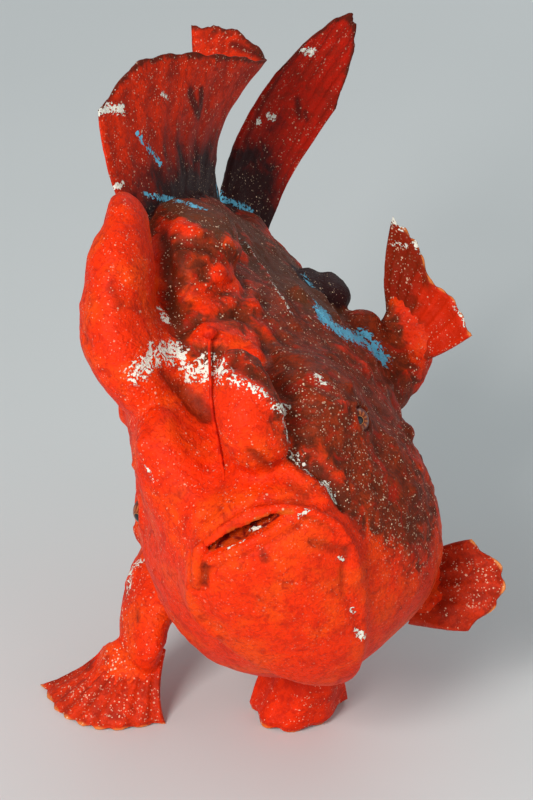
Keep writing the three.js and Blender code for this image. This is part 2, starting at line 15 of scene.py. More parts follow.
import bpy
import numpy as np
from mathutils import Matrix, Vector
from mathutils.bvhtree import BVHTree


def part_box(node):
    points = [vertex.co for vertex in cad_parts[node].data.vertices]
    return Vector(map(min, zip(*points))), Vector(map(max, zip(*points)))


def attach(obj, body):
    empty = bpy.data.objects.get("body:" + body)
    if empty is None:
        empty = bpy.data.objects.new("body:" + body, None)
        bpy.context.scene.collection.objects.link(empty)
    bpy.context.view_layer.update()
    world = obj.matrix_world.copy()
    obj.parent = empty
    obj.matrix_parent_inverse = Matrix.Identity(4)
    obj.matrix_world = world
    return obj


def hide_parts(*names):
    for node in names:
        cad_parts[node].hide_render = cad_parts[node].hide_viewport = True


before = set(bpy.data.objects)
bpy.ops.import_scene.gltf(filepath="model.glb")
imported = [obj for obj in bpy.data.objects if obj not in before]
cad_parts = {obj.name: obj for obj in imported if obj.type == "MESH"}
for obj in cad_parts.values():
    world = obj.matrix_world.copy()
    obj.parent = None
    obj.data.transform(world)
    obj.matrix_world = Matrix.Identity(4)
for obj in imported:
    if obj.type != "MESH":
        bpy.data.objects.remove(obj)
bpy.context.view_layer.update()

LOG = logging.getLogger("frogfish")
MILLIMETRE = 0.001
BODY = "root"
MERGE_STEP = 0.001 * MILLIMETRE

Number = Union[int, float]
Colour = tuple[float, float, float]
Pixel = tuple[float, float]


@dataclass(frozen=True)
class FishFrame:
    """Where the fish's own frame lies in the model's frame."""

    unit: float = 2.3 * MILLIMETRE
    roll: float = math.radians(27)
    pitch: float = math.radians(6)
    origin: tuple[float, float, float] = (0.010027, -0.016452, 0.08648)

    def axes(self) -> np.ndarray:
        """Gives the fish's own directions in the model's frame.

        Returns:
            Forward, left and up, as the rows of a matrix.
        """
        forward = np.array([0, -math.cos(self.pitch), -math.sin(self.pitch)])
        level_up = np.array([0, -math.sin(self.pitch), math.cos(self.pitch)])
        level_left = np.array([1.0, 0, 0])
        up = level_up * math.cos(self.roll) - level_left * math.sin(self.roll)
        left = level_left * math.cos(self.roll) + level_up * math.sin(self.roll)
        return np.array([forward, left, up])

    def on_fish(self, places: Sequence) -> np.ndarray:
        """Turns places on the fish into points of the model.

        Args:
            places: rows of forward, left and up, in hundredths of the standard length.

        Returns:
            The points in metres.
        """
        return np.asarray(places, float) * self.unit @ self.axes() + np.array(self.origin)

    def on_floor(self, places: Sequence) -> np.ndarray:
        """Turns places on the floor plan, in hundredths, into points of the model in metres."""
        return np.asarray(places, float) * self.unit + np.array([self.origin[0], self.origin[1], 0])

    def to_fish(self, points: np.ndarray) -> np.ndarray:
        """Turns points of the model into places on the fish, in hundredths."""
        return (points - np.array(self.origin)) @ self.axes().T / self.unit


FISH = FishFrame()


# Numbers over a surface

def lattice_noise(points: np.ndarray, size: float, seed: int) -> np.ndarray:
    """Gives smooth noise from -1 to 1.

    Args:
        points: rows of three coordinates.
        size: the width of one cell, in the units of the points.
        seed: picks the pattern.

    Returns:
        One value for each point.
    """
    at = points / size + seed * 17.31
    cell = np.floor(at).astype(np.int64)
    part = at - cell
    ease = part * part * (3 - 2 * part)
    total = np.zeros(len(points))
    for corner in itertools.product((0, 1), repeat=3):
        spot = cell + np.array(corner)
        key = (spot[:, 0] * 73856093) ^ (spot[:, 1] * 19349663) ^ (spot[:, 2] * 83492791)
        key = ((key ^ (key >> 13)) * 1274126177) & 0x7FFFFFFF
        value = ((key ^ (key >> 15)) & 0xFFFF) / 32767.5 - 1
        weight = np.prod(np.where(np.array(corner) == 1, ease, 1 - ease), axis=1)
        total += value * weight
    return total


def layered_noise(points: np.ndarray, size: float, layers: int, seed: int) -> np.ndarray:
    """Adds layers of noise, each half the size and half the height of the one before.

    Args:
        points: rows of three coordinates.
        size: the width of the widest cell.
        layers: how many layers are added.
        seed: picks the pattern.

    Returns:
        One value for each point, about -1 to 1.
    """
    turned = points @ np.array([[0.8, 0.6, 0], [-0.48, 0.64, 0.6], [0.36, -0.48, 0.8]])
    heights = [0.5 ** k for k in range(layers)]
    sheets = [lattice_noise(turned, size * 0.5 ** k, seed + k) * heights[k] for k in range(layers)]
    return sum(sheets) / sum(heights)


def smooth_step(values: np.ndarray, low: float, high: float) -> np.ndarray:
    """Rises smoothly from 0 at low to 1 at high."""
    part = np.clip((values - low) / (high - low), 0, 1)
    return part * part * (3 - 2 * part)


def curve_through(points: np.ndarray, places: np.ndarray) -> np.ndarray:
    """Runs a centripetal Catmull-Rom curve through points.

    Args:
        points: the points that the curve passes, as rows.
        places: where it is read, from 0 at the first point to 1 at the last.

    Returns:
        One row for each place.
    """
    before = 2 * points[0] - points[1]
    after = 2 * points[-1] - points[-2]
    knots = np.vstack([before, points, after])
    last = len(points) - 1
    along = np.clip(places, 0, 1) * last
    step = np.minimum(np.floor(along).astype(int), last - 1)
    t = (along - step)[:, None]
    p0, p1, p2, p3 = (knots[step + k] for k in range(4))
    gaps = [np.sqrt(np.linalg.norm(b - a, axis=1))[:, None] for a, b in ((p0, p1), (p1, p2), (p2, p3))]
    d0, d1, d2 = gaps
    start = ((p1 - p0) / d0 - (p2 - p0) / (d0 + d1) + (p2 - p1) / d1) * d1
    end = ((p2 - p1) / d1 - (p3 - p1) / (d1 + d2) + (p3 - p2) / d2) * d1
    square = t * t
    cube = square * t
    return (p1 * (2 * cube - 3 * square + 1) + start * (cube - 2 * square + t)
            + p2 * (3 * square - 2 * cube) + end * (cube - square))


# Meshes

@dataclass
class Shape:
    """A mesh in numpy form, with named values on its points."""

    points: np.ndarray
    faces: list[Sequence[int]]
    values: dict[str, np.ndarray] = field(default_factory=dict)

    PULL = 0.55
    PUSH = -0.5

    @classmethod
    def of(cls, piece: bpy.types.Object) -> "Shape":
        """Reads an object's mesh.

        Args:
            piece: an object with a mesh.

        Returns:
            Its points and faces, without values.
        """
        mesh = piece.data
        flat = np.zeros(len(mesh.vertices) * 3)
        mesh.vertices.foreach_get("co", flat)
        return cls(flat.reshape(-1, 3), [tuple(face.vertices) for face in mesh.polygons])

    def object(self, name: str) -> bpy.types.Object:
        """Makes a smooth-shaded object that carries the values as attributes.

        Args:
            name: the object's name.

        Returns:
            The object, linked to the scene.
        """
        mesh = bpy.data.meshes.new(name)
        mesh.from_pydata(self.points.tolist(), [], self.faces)
        mesh.update()
        mesh.shade_smooth()
        for key, value in self.values.items():
            layer = mesh.attributes.new(key, "FLOAT", "POINT")
            layer.data.foreach_set("value", np.asarray(value, np.float32))
        piece = bpy.data.objects.new(name, mesh)
        bpy.context.scene.collection.objects.link(piece)
        return piece

    def corners(self) -> np.ndarray:
        """Gives the faces as triangles, with a quad split in two."""
        fans = [(f[0], f[k], f[k + 1]) for f in self.faces for k in range(1, len(f) - 1)]
        return np.array(fans)

    def normals(self) -> np.ndarray:
        """Finds the outward direction at each point.

        Returns:
            One unit vector for each point.
        """
        triangles = self.corners()
        a, b, c = (self.points[triangles[:, k]] for k in range(3))
        across = np.cross(b - a, c - a)
        total = np.zeros_like(self.points)
        for k in range(3):
            for axis in range(3):
                total[:, axis] += np.bincount(triangles[:, k], across[:, axis], len(self.points))
        return total / (np.linalg.norm(total, axis=1, keepdims=True) + 1e-12)

    def smoothed(self, passes: int, keep: np.ndarray) -> None:
        """Evens the points out without shrinking the whole.

        Args:
            passes: how many times each point moves towards its neighbours and back.
            keep: for each point, 0 where it moves freely and 1 where it stays.
        """
        triangles = self.corners()
        pairs = np.vstack([triangles[:, [0, 1]], triangles[:, [1, 2]], triangles[:, [2, 0]]])
        pairs = np.vstack([pairs, pairs[:, ::-1]])
        count = np.bincount(pairs[:, 0], minlength=len(self.points))[:, None]
        free = (1 - keep)[:, None]
        for strength in (self.PULL, self.PUSH) * passes:
            mean = np.stack([np.bincount(pairs[:, 0], self.points[pairs[:, 1], axis], len(self.points))
                             for axis in range(3)], axis=1) / np.maximum(count, 1)
            self.points = self.points + (mean - self.points) * strength * free

    def outward(self) -> "Shape":
        """Turns a closed shape's faces outwards.

        Returns:
            The shape itself.
        """
        triangles = self.corners()
        a, b, c = (self.points[triangles[:, k]] for k in range(3))
        if np.einsum("ij,ij->i", a, np.cross(b, c)).sum() < 0:
            self.faces = [tuple(reversed(face)) for face in self.faces]
        return self

    def tree(self) -> BVHTree:
        """Gives a search tree over the faces."""
        return BVHTree.FromPolygons(self.points.tolist(), self.faces)


def plain_copy(piece: bpy.types.Object) -> bpy.types.Object:
    """Bakes an object's modifiers into its mesh.

    Args:
        piece: the object, which is removed.

    Returns:
        A plain object of the same name.
    """
    graph = bpy.context.evaluated_depsgraph_get()
    mesh = bpy.data.meshes.new_from_object(piece.evaluated_get(graph))
    name = piece.name
    bpy.data.objects.remove(piece)
    made = bpy.data.objects.new(name, mesh)
    bpy.context.scene.collection.objects.link(made)
    return made


def merged_solid(node: str) -> Shape:
    """Reads a solid's loose triangles and joins them at their shared points.

    Args:
        node: the name of the solid.

    Returns:
        The solid as one closed shape.
    """
    loose = Shape.of(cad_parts[node])
    keys = np.round(loose.points / MERGE_STEP).astype(np.int64)
    _, first, back = np.unique(keys, axis=0, return_index=True, return_inverse=True)
    back = back.reshape(-1)
    faces = [tuple(back[list(face)]) for face in loose.faces]
    return Shape(loose.points[first], [face for face in faces if len(set(face)) == 3])


def joined_tree(shapes: Sequence[Shape]) -> BVHTree:
    """Gives one search tree over several shapes.

    Args:
        shapes: the shapes, which may touch.

    Returns:
        The tree over all their faces.
    """
    starts = np.cumsum([0] + [len(shape.points) for shape in shapes])
    faces = [tuple(int(start) + k for k in face) for start, shape in zip(starts, shapes)
             for face in shape.faces]
    return BVHTree.FromPolygons(np.vstack([shape.points for shape in shapes]).tolist(), faces)


def distances_outside(tree: BVHTree, points: np.ndarray) -> np.ndarray:
    """Measures how far points lie outside a closed surface.

    Args:
        tree: the surface.
        points: the points, in metres.

    Returns:
        One distance for each point, below 0 inside.
    """
    found = []
    for point in map(Vector, points):
        near, normal, _, far = tree.find_nearest(point)
        found.append(far if (point - near).dot(normal) > 0 else -far)
    return np.array(found)


def nearness(tree: BVHTree, points: np.ndarray, low: float, high: float) -> np.ndarray:
    """Tells how near points lie to a surface.

    Args:
        tree: the surface.
        points: the points, in metres.
        low: the distance up to which the answer is 1.
        high: the distance from which it is 0.

    Returns:
        One value for each point.
    """
    found = (tree.find_nearest(Vector(point), high)[3] for point in points)
    return 1 - smooth_step(np.array([high if far is None else far for far in found]), low, high)


@dataclass(frozen=True)
class Ball:
    """A ball's grid: its points ring by ring from pole to pole, and then the two poles."""

    rings: int
    turns: int

    def angles(self) -> tuple[np.ndarray, np.ndarray]:
        """Lists where each point lies.

        Returns:
            The angle from the first pole and the turn round the axis, in radians.
        """
        polar = np.repeat(np.linspace(0, math.pi, self.rings + 1)[1:-1], self.turns)
        turn = np.tile(np.linspace(0, 2 * math.pi, self.turns, endpoint=False), self.rings - 1)
        return np.append(polar, [0, math.pi]), np.append(turn, [0, 0])

    def directions(self, axes: np.ndarray) -> np.ndarray:
        """Gives the directions of the points from the middle.

        Args:
            axes: rows for the two directions across and the one to the first pole.

        Returns:
            One unit vector for each point.
        """
        polar, turn = self.angles()
        across = np.sin(polar)
        return np.stack([across * np.cos(turn), across * np.sin(turn), np.cos(polar)], axis=1) @ axes

    def faces(self) -> list[Sequence[int]]:
        """Joins the points.

        Returns:
            Quads between the rings and triangles at the poles.
        """
        turns = self.turns
        top, bottom = (self.rings - 1) * turns, (self.rings - 1) * turns + 1
        last = (self.rings - 2) * turns
        made: list[Sequence[int]] = []
        for j in range(turns):
            n = (j + 1) % turns
            made.append((top, j, n))
            made.append((bottom, last + n, last + j))
            made.extend((i * turns + j, (i + 1) * turns + j, (i + 1) * turns + n, i * turns + n)
                        for i in range(self.rings - 2))
        return made


@dataclass(frozen=True)
class Bumps:
    """A layer of noise on the fish: cell size in hundredths, height in metres."""

    size: float
    layers: int
    seed: int
    height: float
    floor: float = -1.0

    def over(self, fish: np.ndarray) -> np.ndarray:
        """Gives the layer's share of its height at places on the fish, from its floor to 1."""
        return np.maximum(layered_noise(fish, self.size, self.layers, self.seed), self.floor)


# The camera, and marks placed by pixels of the photograph

@dataclass(frozen=True)
class Viewpoint:
    """The photograph's angle and framing."""

    width: int = 533
    height: int = 800
    elevation: float = math.radians(25)
    distance: float = 1.3
    pixels_per_metre: float = 3130.0
    fish_origin: Pixel = (299.0, 420.0)
    sensor: float = 36.0

    def directions(self) -> tuple[np.ndarray, np.ndarray, np.ndarray]:
        """Gives the camera's own directions.

        Returns:
            The directions to the right, up and back to the camera.
        """
        back = np.array([0, -math.cos(self.elevation), math.sin(self.elevation)])
        right = np.array([1.0, 0, 0])
        return right, np.cross(back, right), back

    def place(self) -> np.ndarray:
        """Finds where the camera stands, so that the fish's origin falls on its own pixel.

        Returns:
            The place in metres.
        """
        right, up, back = self.directions()
        across = (self.width / 2 - self.fish_origin[0]) / self.pixels_per_metre
        down = (self.height / 2 - self.fish_origin[1]) / self.pixels_per_metre
        return np.array(FISH.origin) + right * across - up * down + back * self.distance

    def focal_pixels(self) -> float:
        """Gives the focal length in pixels."""
        return self.pixels_per_metre * self.distance

    def ray(self, pixel: Pixel) -> np.ndarray:
        """Gives the direction from the camera through a pixel.

        Args:
            pixel: a place in the photograph's frame.

        Returns:
            A unit vector.
        """
        right, up, back = self.directions()
        across = (pixel[0] - self.width / 2) / self.focal_pixels()
        down = (pixel[1] - self.height / 2) / self.focal_pixels()
        direction = right * across - up * down - back
        return direction / np.linalg.norm(direction)

    def pixels(self, points: np.ndarray) -> np.ndarray:
        """Finds the pixel on which each point falls.

        Args:
            points: the points, in metres.

        Returns:
            Places across and down, one row for each point.
        """
        right, up, back = self.directions()
        offset = points - self.place()
        depth = -offset @ back
        across = self.width / 2 + offset @ right / depth * self.focal_pixels()
        down = self.height / 2 - offset @ up / depth * self.focal_pixels()
        return np.stack([across, down], axis=1)

    def camera(self) -> bpy.types.Object:
        """Makes the scene's camera.

        Returns:
            The camera, in use.
        """
        data = bpy.data.cameras.new("view")
        data.sensor_width = self.sensor
        data.lens = self.focal_pixels() * self.sensor / self.height
        made = bpy.data.objects.new("view", data)
        bpy.context.scene.collection.objects.link(made)
        made.location = self.place()
        made.rotation_mode = "QUATERNION"
        made.rotation_quaternion = Vector(-self.directions()[2]).to_track_quat("-Z", "Y")
        bpy.context.scene.camera = made
        return made


VIEW = Viewpoint()


class Mark(Enum):
    """What a stroke over the surface leaves there."""

    CRUST = "crust"
    # White crust painted blue, as it looks in shade under bluish light.
    SHADED_BLUE_CRUST = "turquoise"
    RELIEF = "relief"
    SHADE = "shade"
    BRIGHT = "bright"
    FLECK = "fleck"


@dataclass(frozen=True)
class Stroke:
    """A line over the surface, placed by pixels of the photograph.

    The width is in millimetres from the line to its faded edge. The height, for relief, is in
    millimetres, and for the other marks it is their strength.
    """

    mark: Mark
    line: Sequence[Pixel]
    width: float
    height: float = 1.0


@dataclass
class Marks:
    """All strokes, found on the surface that the camera sees."""

    strokes: Sequence[Stroke]
    tree: BVHTree
    spots: list[np.ndarray] = field(default_factory=list)

    PIXEL_STEP = 2.0
    FAR = 2.0
    SEARCH_HALF = 0.15
    SEARCH_STEPS = 40

    def __post_init__(self) -> None:
        """Finds every stroke's points in space."""
        self.spots = [np.array([self.found(pixel) for pixel in self.stepped(stroke.line)])
                      for stroke in self.strokes]

    def stepped(self, line: Sequence[Pixel]) -> list[Pixel]:
        """Fills a line of pixels in.

        Args:
            line: the line's corners.

        Returns:
            Pixels a small step apart, or the one pixel of a spot.
        """
        corners = np.array(line, float)
        if len(corners) == 1:
            return [tuple(corners[0])]
        filled = [corners[:1]]
        for start, end in zip(corners[:-1], corners[1:]):
            count = max(1, int(np.linalg.norm(end - start) / self.PIXEL_STEP))
            part = np.arange(1, count + 1)[:, None] / count
            filled.append(start + (end - start) * part)
        return [tuple(row) for row in np.vstack(filled)]

    def found(self, pixel: Pixel) -> np.ndarray:
        """Finds the surface behind a pixel, or the place nearest to its ray.

        Args:
            pixel: a place in the photograph's frame.

        Returns:
            The point in metres.
        """
        start = Vector(VIEW.place())
        direction = Vector(VIEW.ray(pixel))
        hit = self.tree.ray_cast(start, direction, self.FAR)[0]
        if hit is not None:
            return np.array(hit)
        depths = VIEW.distance + np.linspace(-self.SEARCH_HALF, self.SEARCH_HALF, self.SEARCH_STEPS)
        tries = [self.tree.find_nearest(start + direction * float(depth)) for depth in depths]
        best = min((found for found in tries if found[0] is not None), key=lambda found: found[3])
        return np.array(best[0])

    def strength(self, mark: Mark, points: np.ndarray) -> np.ndarray:
        """Reads one mark over a surface.

        Args:
            mark: which kind of stroke is read.
            points: the surface's points.

        Returns:
            The strength at each point. Relief adds up, and other marks take the strongest.
        """
        total = np.zeros(len(points))
        for stroke, spots in zip(self.strokes, self.spots):
            if stroke.mark is not mark:
                continue
            reach = stroke.width * MILLIMETRE
            low, high = spots.min(0) - reach, spots.max(0) + reach
            near = np.nonzero(np.all((points >= low) & (points <= high), axis=1))[0]
            if len(near) == 0:
                continue
            nearest = np.full(len(near), np.inf)
            for spot in spots:
                nearest = np.minimum(nearest, np.linalg.norm(points[near] - spot, axis=1))
            value = (1 - smooth_step(nearest, 0, reach)) * stroke.height
            if mark is Mark.RELIEF:
                total[near] += value
            else:
                total[near] = np.maximum(total[near], value)
        return total


def strokes(mark: Mark, *rows: tuple[Sequence[Pixel], float, float]) -> list[Stroke]:
    """Makes strokes of one mark from rows of line, width and height."""
    return [Stroke(mark, *row) for row in rows]


# Lines over the fish, in pixels across and down the photograph

CREST = [(137, 372), (150, 357), (175, 349), (192, 372), (207, 366), (222, 374)]
CREST_TAIL = [(222, 374), (240, 383), (258, 392), (270, 405), (280, 412)]
LOWER_CREST = [(280, 412), (290, 450), (301, 463)]
MOUTH_SLIT = [(200, 561), (209, 554), (222, 546), (240, 537), (257, 528), (277, 519), (305, 513)]
UPPER_LIP = [(199, 550), (218, 530), (249, 512), (283, 507), (303, 510), (318, 514), (338, 525),
             (349, 541)]
LOWER_LIP = [(208, 563), (228, 554), (249, 544), (272, 531), (300, 519)]
LIP_BAND = [(212, 546), (232, 531), (252, 521), (275, 513), (292, 511)]
MAXILLA = [(197, 556), (197, 572), (197, 585)]
JAW_EDGE = [(349, 545), (343, 571), (344, 595), (353, 614), (361, 636)]

CREST_CRUSTS = strokes(
    Mark.CRUST,
    (CREST, 6.2, 0.62),
    ([(150, 343), (146, 364)], 1.5, 0.95),
    ([(159, 345), (157, 366)], 1.4, 0.9),
    ([(170, 345), (172, 364)], 1.5, 0.95),
    ([(181, 346), (187, 368)], 1.6, 0.95),
    ([(204, 352), (196, 374)], 1.5, 0.9),
    ([(213, 357), (206, 376)], 1.5, 0.95),
    ([(223, 361), (215, 379)], 1.4, 0.9),
    ([(190, 372), (198, 378), (210, 378)], 1.8, 0.95),
    ([(136, 372), (142, 362)], 1.6, 0.9),
    (CREST_TAIL, 3.0, 0.55),
    (LOWER_CREST, 2.6, 0.45),
    ([(276, 408), (287, 409), (283, 416)], 2.2, 0.7),
    ([(289, 450), (303, 463)], 2.0, 0.65),
    ([(328, 484), (337, 499)], 2.6, 0.8),
    ([(300, 465), (328, 492)], 2.6, 0.35),
)
BODY_CRUSTS = strokes(
    Mark.CRUST,
    ([(161, 310), (166, 318)], 2.6, 0.8),
    ([(318, 377), (323, 383)], 2.4, 0.85),
    ([(130, 468), (134, 474)], 2.4, 0.7),
    ([(140, 562), (130, 572), (126, 590)], 3.4, 0.62),
    ([(145, 464), (152, 480)], 1.4, 0.5),
    ([(239, 241), (262, 268), (290, 315)], 1.6, 0.5),
)
FIN_CRUSTS = strokes(
    Mark.CRUST,
    ([(114, 190), (122, 184)], 2.2, 0.8),
    ([(98, 112), (108, 108), (122, 110)], 3.0, 0.95),
    ([(106, 87), (112, 88)], 1.9, 0.75),
    ([(162, 92), (167, 99)], 2.0, 0.7),
    ([(232, 108), (235, 114)], 2.0, 0.75),
    ([(303, 50), (312, 52)], 2.8, 0.95),
    ([(257, 121), (259, 121)], 2.2, 0.95),
    ([(268, 116), (274, 118)], 2.0, 0.95),
    ([(391, 219), (398, 224), (404, 226)], 2.4, 0.95),
    ([(416, 243), (420, 250)], 2.2, 0.8),
    ([(393, 243), (406, 246)], 1.9, 0.7),
    ([(455, 300), (466, 328)], 1.8, 0.6),
)
# The first four rows are painted glints on the lips. The rest are white crust spots along the jaw.
LIP_GLINTS_AND_CRUST_SPOTS = strokes(
    Mark.CRUST,
    ([(252, 529), (261, 527)], 1.3, 1.3),
    ([(240, 544), (244, 541)], 0.9, 1.3),
    ([(228, 550), (234, 547)], 0.9, 1.3),
    ([(299, 515), (306, 512)], 1.0, 1.1),
    ([(340, 557), (343, 560)], 1.2, 0.8),
    ([(352, 610), (354, 614)], 1.2, 0.9),
    ([(357, 630), (364, 638)], 1.7, 0.9),
)
FLECKS = strokes(
    Mark.FLECK,
    ([(130, 560), (124, 600), (118, 640), (112, 670)], 9.0, 1.0),
    ([(60, 690), (100, 700), (150, 705)], 8.0, 0.6),
    ([(132, 420), (134, 480), (138, 540)], 7.0, 0.7),
    ([(360, 440), (385, 520), (420, 560)], 14.0, 0.55),
    ([(320, 390), (350, 430)], 12.0, 0.5),
    ([(440, 560), (480, 590), (490, 570)], 8.0, 0.7),
    ([(395, 230), (402, 280)], 6.0, 0.8),
    ([(160, 330), (150, 400)], 8.0, 0.5),
)
# Bands of white crust painted blue, as it looks in shade under bluish light.
SHADED_BLUE_CRUST_BANDS = strokes(
    Mark.SHADED_BLUE_CRUST,
    ([(145, 194), (165, 199), (185, 202), (205, 208)], 1.9, 0.95),
    ([(219, 186), (221, 198), (236, 205), (250, 211)], 2.4, 0.95),
    ([(303, 276), (311, 286)], 2.2, 0.7),
    ([(321, 308), (326, 322), (345, 333), (362, 340), (378, 358)], 6.6, 1.0),
    ([(323, 312), (333, 327), (355, 336)], 4.4, 1.15),
    ([(138, 134), (148, 148), (160, 164)], 2.2, 0.7),
)
LIP_FOLDS = strokes(
    Mark.RELIEF,
    (UPPER_LIP, 2.0, 1.1),
    ([(203, 540), (226, 520), (252, 504), (284, 499), (306, 501)], 2.6, -0.7),
    (LOWER_LIP, 2.4, 0.9),
    ([(212, 570), (232, 561), (254, 551), (276, 538), (300, 527)], 2.4, -0.5),
    (MAXILLA, 2.4, 1.7),
    ([(190, 552), (190, 585), (197, 591)], 1.9, -0.7),
    ([(204, 566), (203, 586)], 2.2, -1.2),
    ([(304, 518), (325, 525), (345, 539)], 1.9, -1.0),
    ([(308, 526), (325, 532), (340, 541)], 2.0, 0.6),
    ([(311, 541), (328, 545), (344, 550)], 1.9, -0.9),
    (JAW_EDGE, 2.0, -0.8),
)
BROW_FOLDS = strokes(
    Mark.RELIEF,
    ([(290, 454), (310, 468), (328, 482), (343, 506)], 3.4, -1.9),
    ([(286, 470), (306, 482), (324, 500)], 4.2, 1.2),
    ([(308, 452), (328, 462), (350, 490)], 4.2, 1.3),
    ([(165, 372), (185, 395), (205, 415)], 4.4, -1.8),
    ([(162, 230), (168, 260), (170, 300), (182, 345)], 3.6, -1.5),
    ([(240, 240), (265, 274), (296, 325)], 2.4, 1.1),
    ([(249, 236), (274, 268), (305, 318)], 2.8, -0.8),
    ([(260, 242), (288, 274), (318, 318)], 2.2, 0.6),
    ([(225, 375), (258, 391), (278, 411)], 3.6, 1.5),
    ([(235, 362), (262, 378), (290, 398)], 3.4, -1.0),
)
FLANK_LUMPS = strokes(
    Mark.RELIEF,
    ([(180, 228), (196, 230)], 6.0, 1.7),
    ([(228, 246), (238, 256)], 5.2, 1.6),
    ([(220, 272), (232, 284)], 6.0, 1.7),
    ([(192, 292), (204, 306)], 6.4, 1.8),
    ([(206, 332), (228, 340)], 5.4, 1.5),
    ([(248, 346), (258, 356)], 5.4, 1.5),
    ([(183, 258)], 5.0, 1.3),
    ([(250, 306)], 5.0, 1.2),
    ([(286, 350), (300, 362)], 5.6, 0.9),
    ([(340, 348), (354, 358)], 6.4, 1.3),
    ([(318, 398), (330, 410)], 6.0, 0.9),
    ([(366, 446), (372, 466)], 6.6, 0.9),
    ([(150, 430)], 13.0, 1.6),
    ([(245, 420)], 11.0, 1.5),
)
LUMP_GROOVES = strokes(
    Mark.RELIEF,
    ([(200, 318), (214, 320), (236, 312)], 3.4, -1.5),
    ([(180, 244), (206, 246), (222, 262)], 3.4, -1.5),
    ([(240, 316), (262, 336), (270, 362)], 3.4, -1.0),
    ([(212, 266), (200, 280), (180, 284)], 3.4, -1.6),
    ([(240, 276), (246, 292), (240, 316)], 3.4, -1.4),
    ([(262, 300), (270, 324), (290, 346)], 3.6, -1.2),
    ([(176, 330), (196, 322)], 3.0, -1.3),
    ([(236, 350), (232, 362)], 2.8, -1.2),
    ([(83, 262), (84, 272)], 3.4, -1.1),
    ([(84, 338), (90, 346)], 3.4, -1.0),
)
SMALL_FOLDS = strokes(
    Mark.RELIEF,
    ([(252, 452), (268, 466)], 2.2, -0.8),
    ([(256, 446), (272, 458)], 2.2, 0.6),
    ([(196, 512)], 2.2, 0.9),
    ([(196, 512)], 0.9, -1.0),
    ([(214, 318)], 1.8, 0.7),
)
BRIGHT_LUMPS = strokes(
    Mark.BRIGHT,
    ([(178, 226), (196, 230)], 7.0, 0.9),
    ([(228, 244), (242, 258)], 6.4, 0.8),
    ([(216, 270), (236, 286)], 7.4, 1.0),
    ([(190, 292), (210, 310)], 8.0, 1.0),
    ([(204, 334), (230, 342)], 7.4, 1.0),
    ([(246, 348), (262, 358)], 6.0, 0.7),
    ([(250, 300)], 5.6, 0.5),
    ([(338, 348), (352, 354), (366, 368)], 6.4, 0.7),
    ([(368, 380), (384, 398)], 6.0, 0.55),
    ([(316, 464), (338, 476)], 5.6, 0.7),
    ([(345, 400)], 6.0, 0.4),
    ([(420, 480), (424, 520)], 6.0, 0.4),
)
BODY_SHADOWS = strokes(
    Mark.SHADE,
    ([(196, 400), (203, 410)], 6.0, 0.6),
    ([(180, 382), (190, 396)], 5.0, 0.5),
    ([(113, 290), (120, 304)], 5.0, 0.5),
    ([(252, 452), (270, 468)], 5.4, 0.5),
    ([(263, 553), (265, 560)], 2.8, 0.7),
    ([(290, 484), (304, 496)], 4.6, 0.5),
    ([(300, 440), (322, 472), (346, 500)], 4.0, 0.7),
    ([(335, 496), (356, 524)], 6.0, 0.6),
    ([(312, 543), (345, 553)], 4.0, 0.45),
    ([(312, 556), (336, 590)], 7.0, 0.3),
    ([(190, 560), (191, 588)], 1.8, 0.35),
    ([(206, 564), (204, 584)], 2.8, 0.75),
    ([(163, 235), (168, 300), (178, 330)], 4.6, 0.75),
    ([(186, 252), (176, 270)], 4.4, 0.6),
    ([(406, 470), (418, 500)], 5.0, 0.4),
)
FIN_SHADOWS = strokes(
    Mark.SHADE,
    ([(190, 92), (194, 104), (199, 116)], 3.4, 1.0),
    ([(201, 90), (201, 108)], 3.2, 1.0),
    ([(112, 100), (126, 104)], 4.0, 0.5),
    ([(298, 108), (300, 118)], 3.4, 0.6),
    ([(137, 612), (138, 620)], 2.6, 0.6),
    ([(50, 676), (70, 664), (92, 662)], 4.4, 0.6),
    ([(300, 52), (278, 78), (262, 104), (246, 142)], 3.4, 0.6),
    ([(297, 100), (299, 112)], 3.0, 0.8),
    ([(305, 112), (307, 120)], 2.2, 0.7),
    ([(232, 44), (248, 50), (264, 57)], 3.2, 0.8),
)
STROKES = [
    *CREST_CRUSTS, *BODY_CRUSTS, *FIN_CRUSTS, *LIP_GLINTS_AND_CRUST_SPOTS, *FLECKS, *SHADED_BLUE_CRUST_BANDS, *LIP_FOLDS,
    *BROW_FOLDS, *FLANK_LUMPS, *LUMP_GROOVES, *SMALL_FOLDS, *BRIGHT_LUMPS, *BODY_SHADOWS, *FIN_SHADOWS,
]


@dataclass(frozen=True)
class Wash:
    """A soft oval of colour, seen from the camera and carried through the body.

    Places and sizes are in pixels and the lean is in degrees.
    """

    x: float
    y: float
    half_width: float
    half_height: float
    lean: float
    strength: float

    FULL = 0.55
    NONE = 1.25

    def over(self, pixels: np.ndarray) -> np.ndarray:
        """Reads the wash.

        Args:
            pixels: places in the photograph's frame.

        Returns:
            The strength on each pixel.
        """
        turn = math.radians(self.lean)
        dx = pixels[:, 0] - self.x
        dy = pixels[:, 1] - self.y
        across = (dx * math.cos(turn) - dy * math.sin(turn)) / self.half_width
        along = (dx * math.sin(turn) + dy * math.cos(turn)) / self.half_height
        return self.strength * (1 - smooth_step(np.hypot(across, along), self.FULL, self.NONE))


def washed(washes: Sequence[Wash], pixels: np.ndarray) -> np.ndarray:
    """Takes the strongest of several washes on each pixel."""
    return np.max([wash.over(pixels) for wash in washes], axis=0)


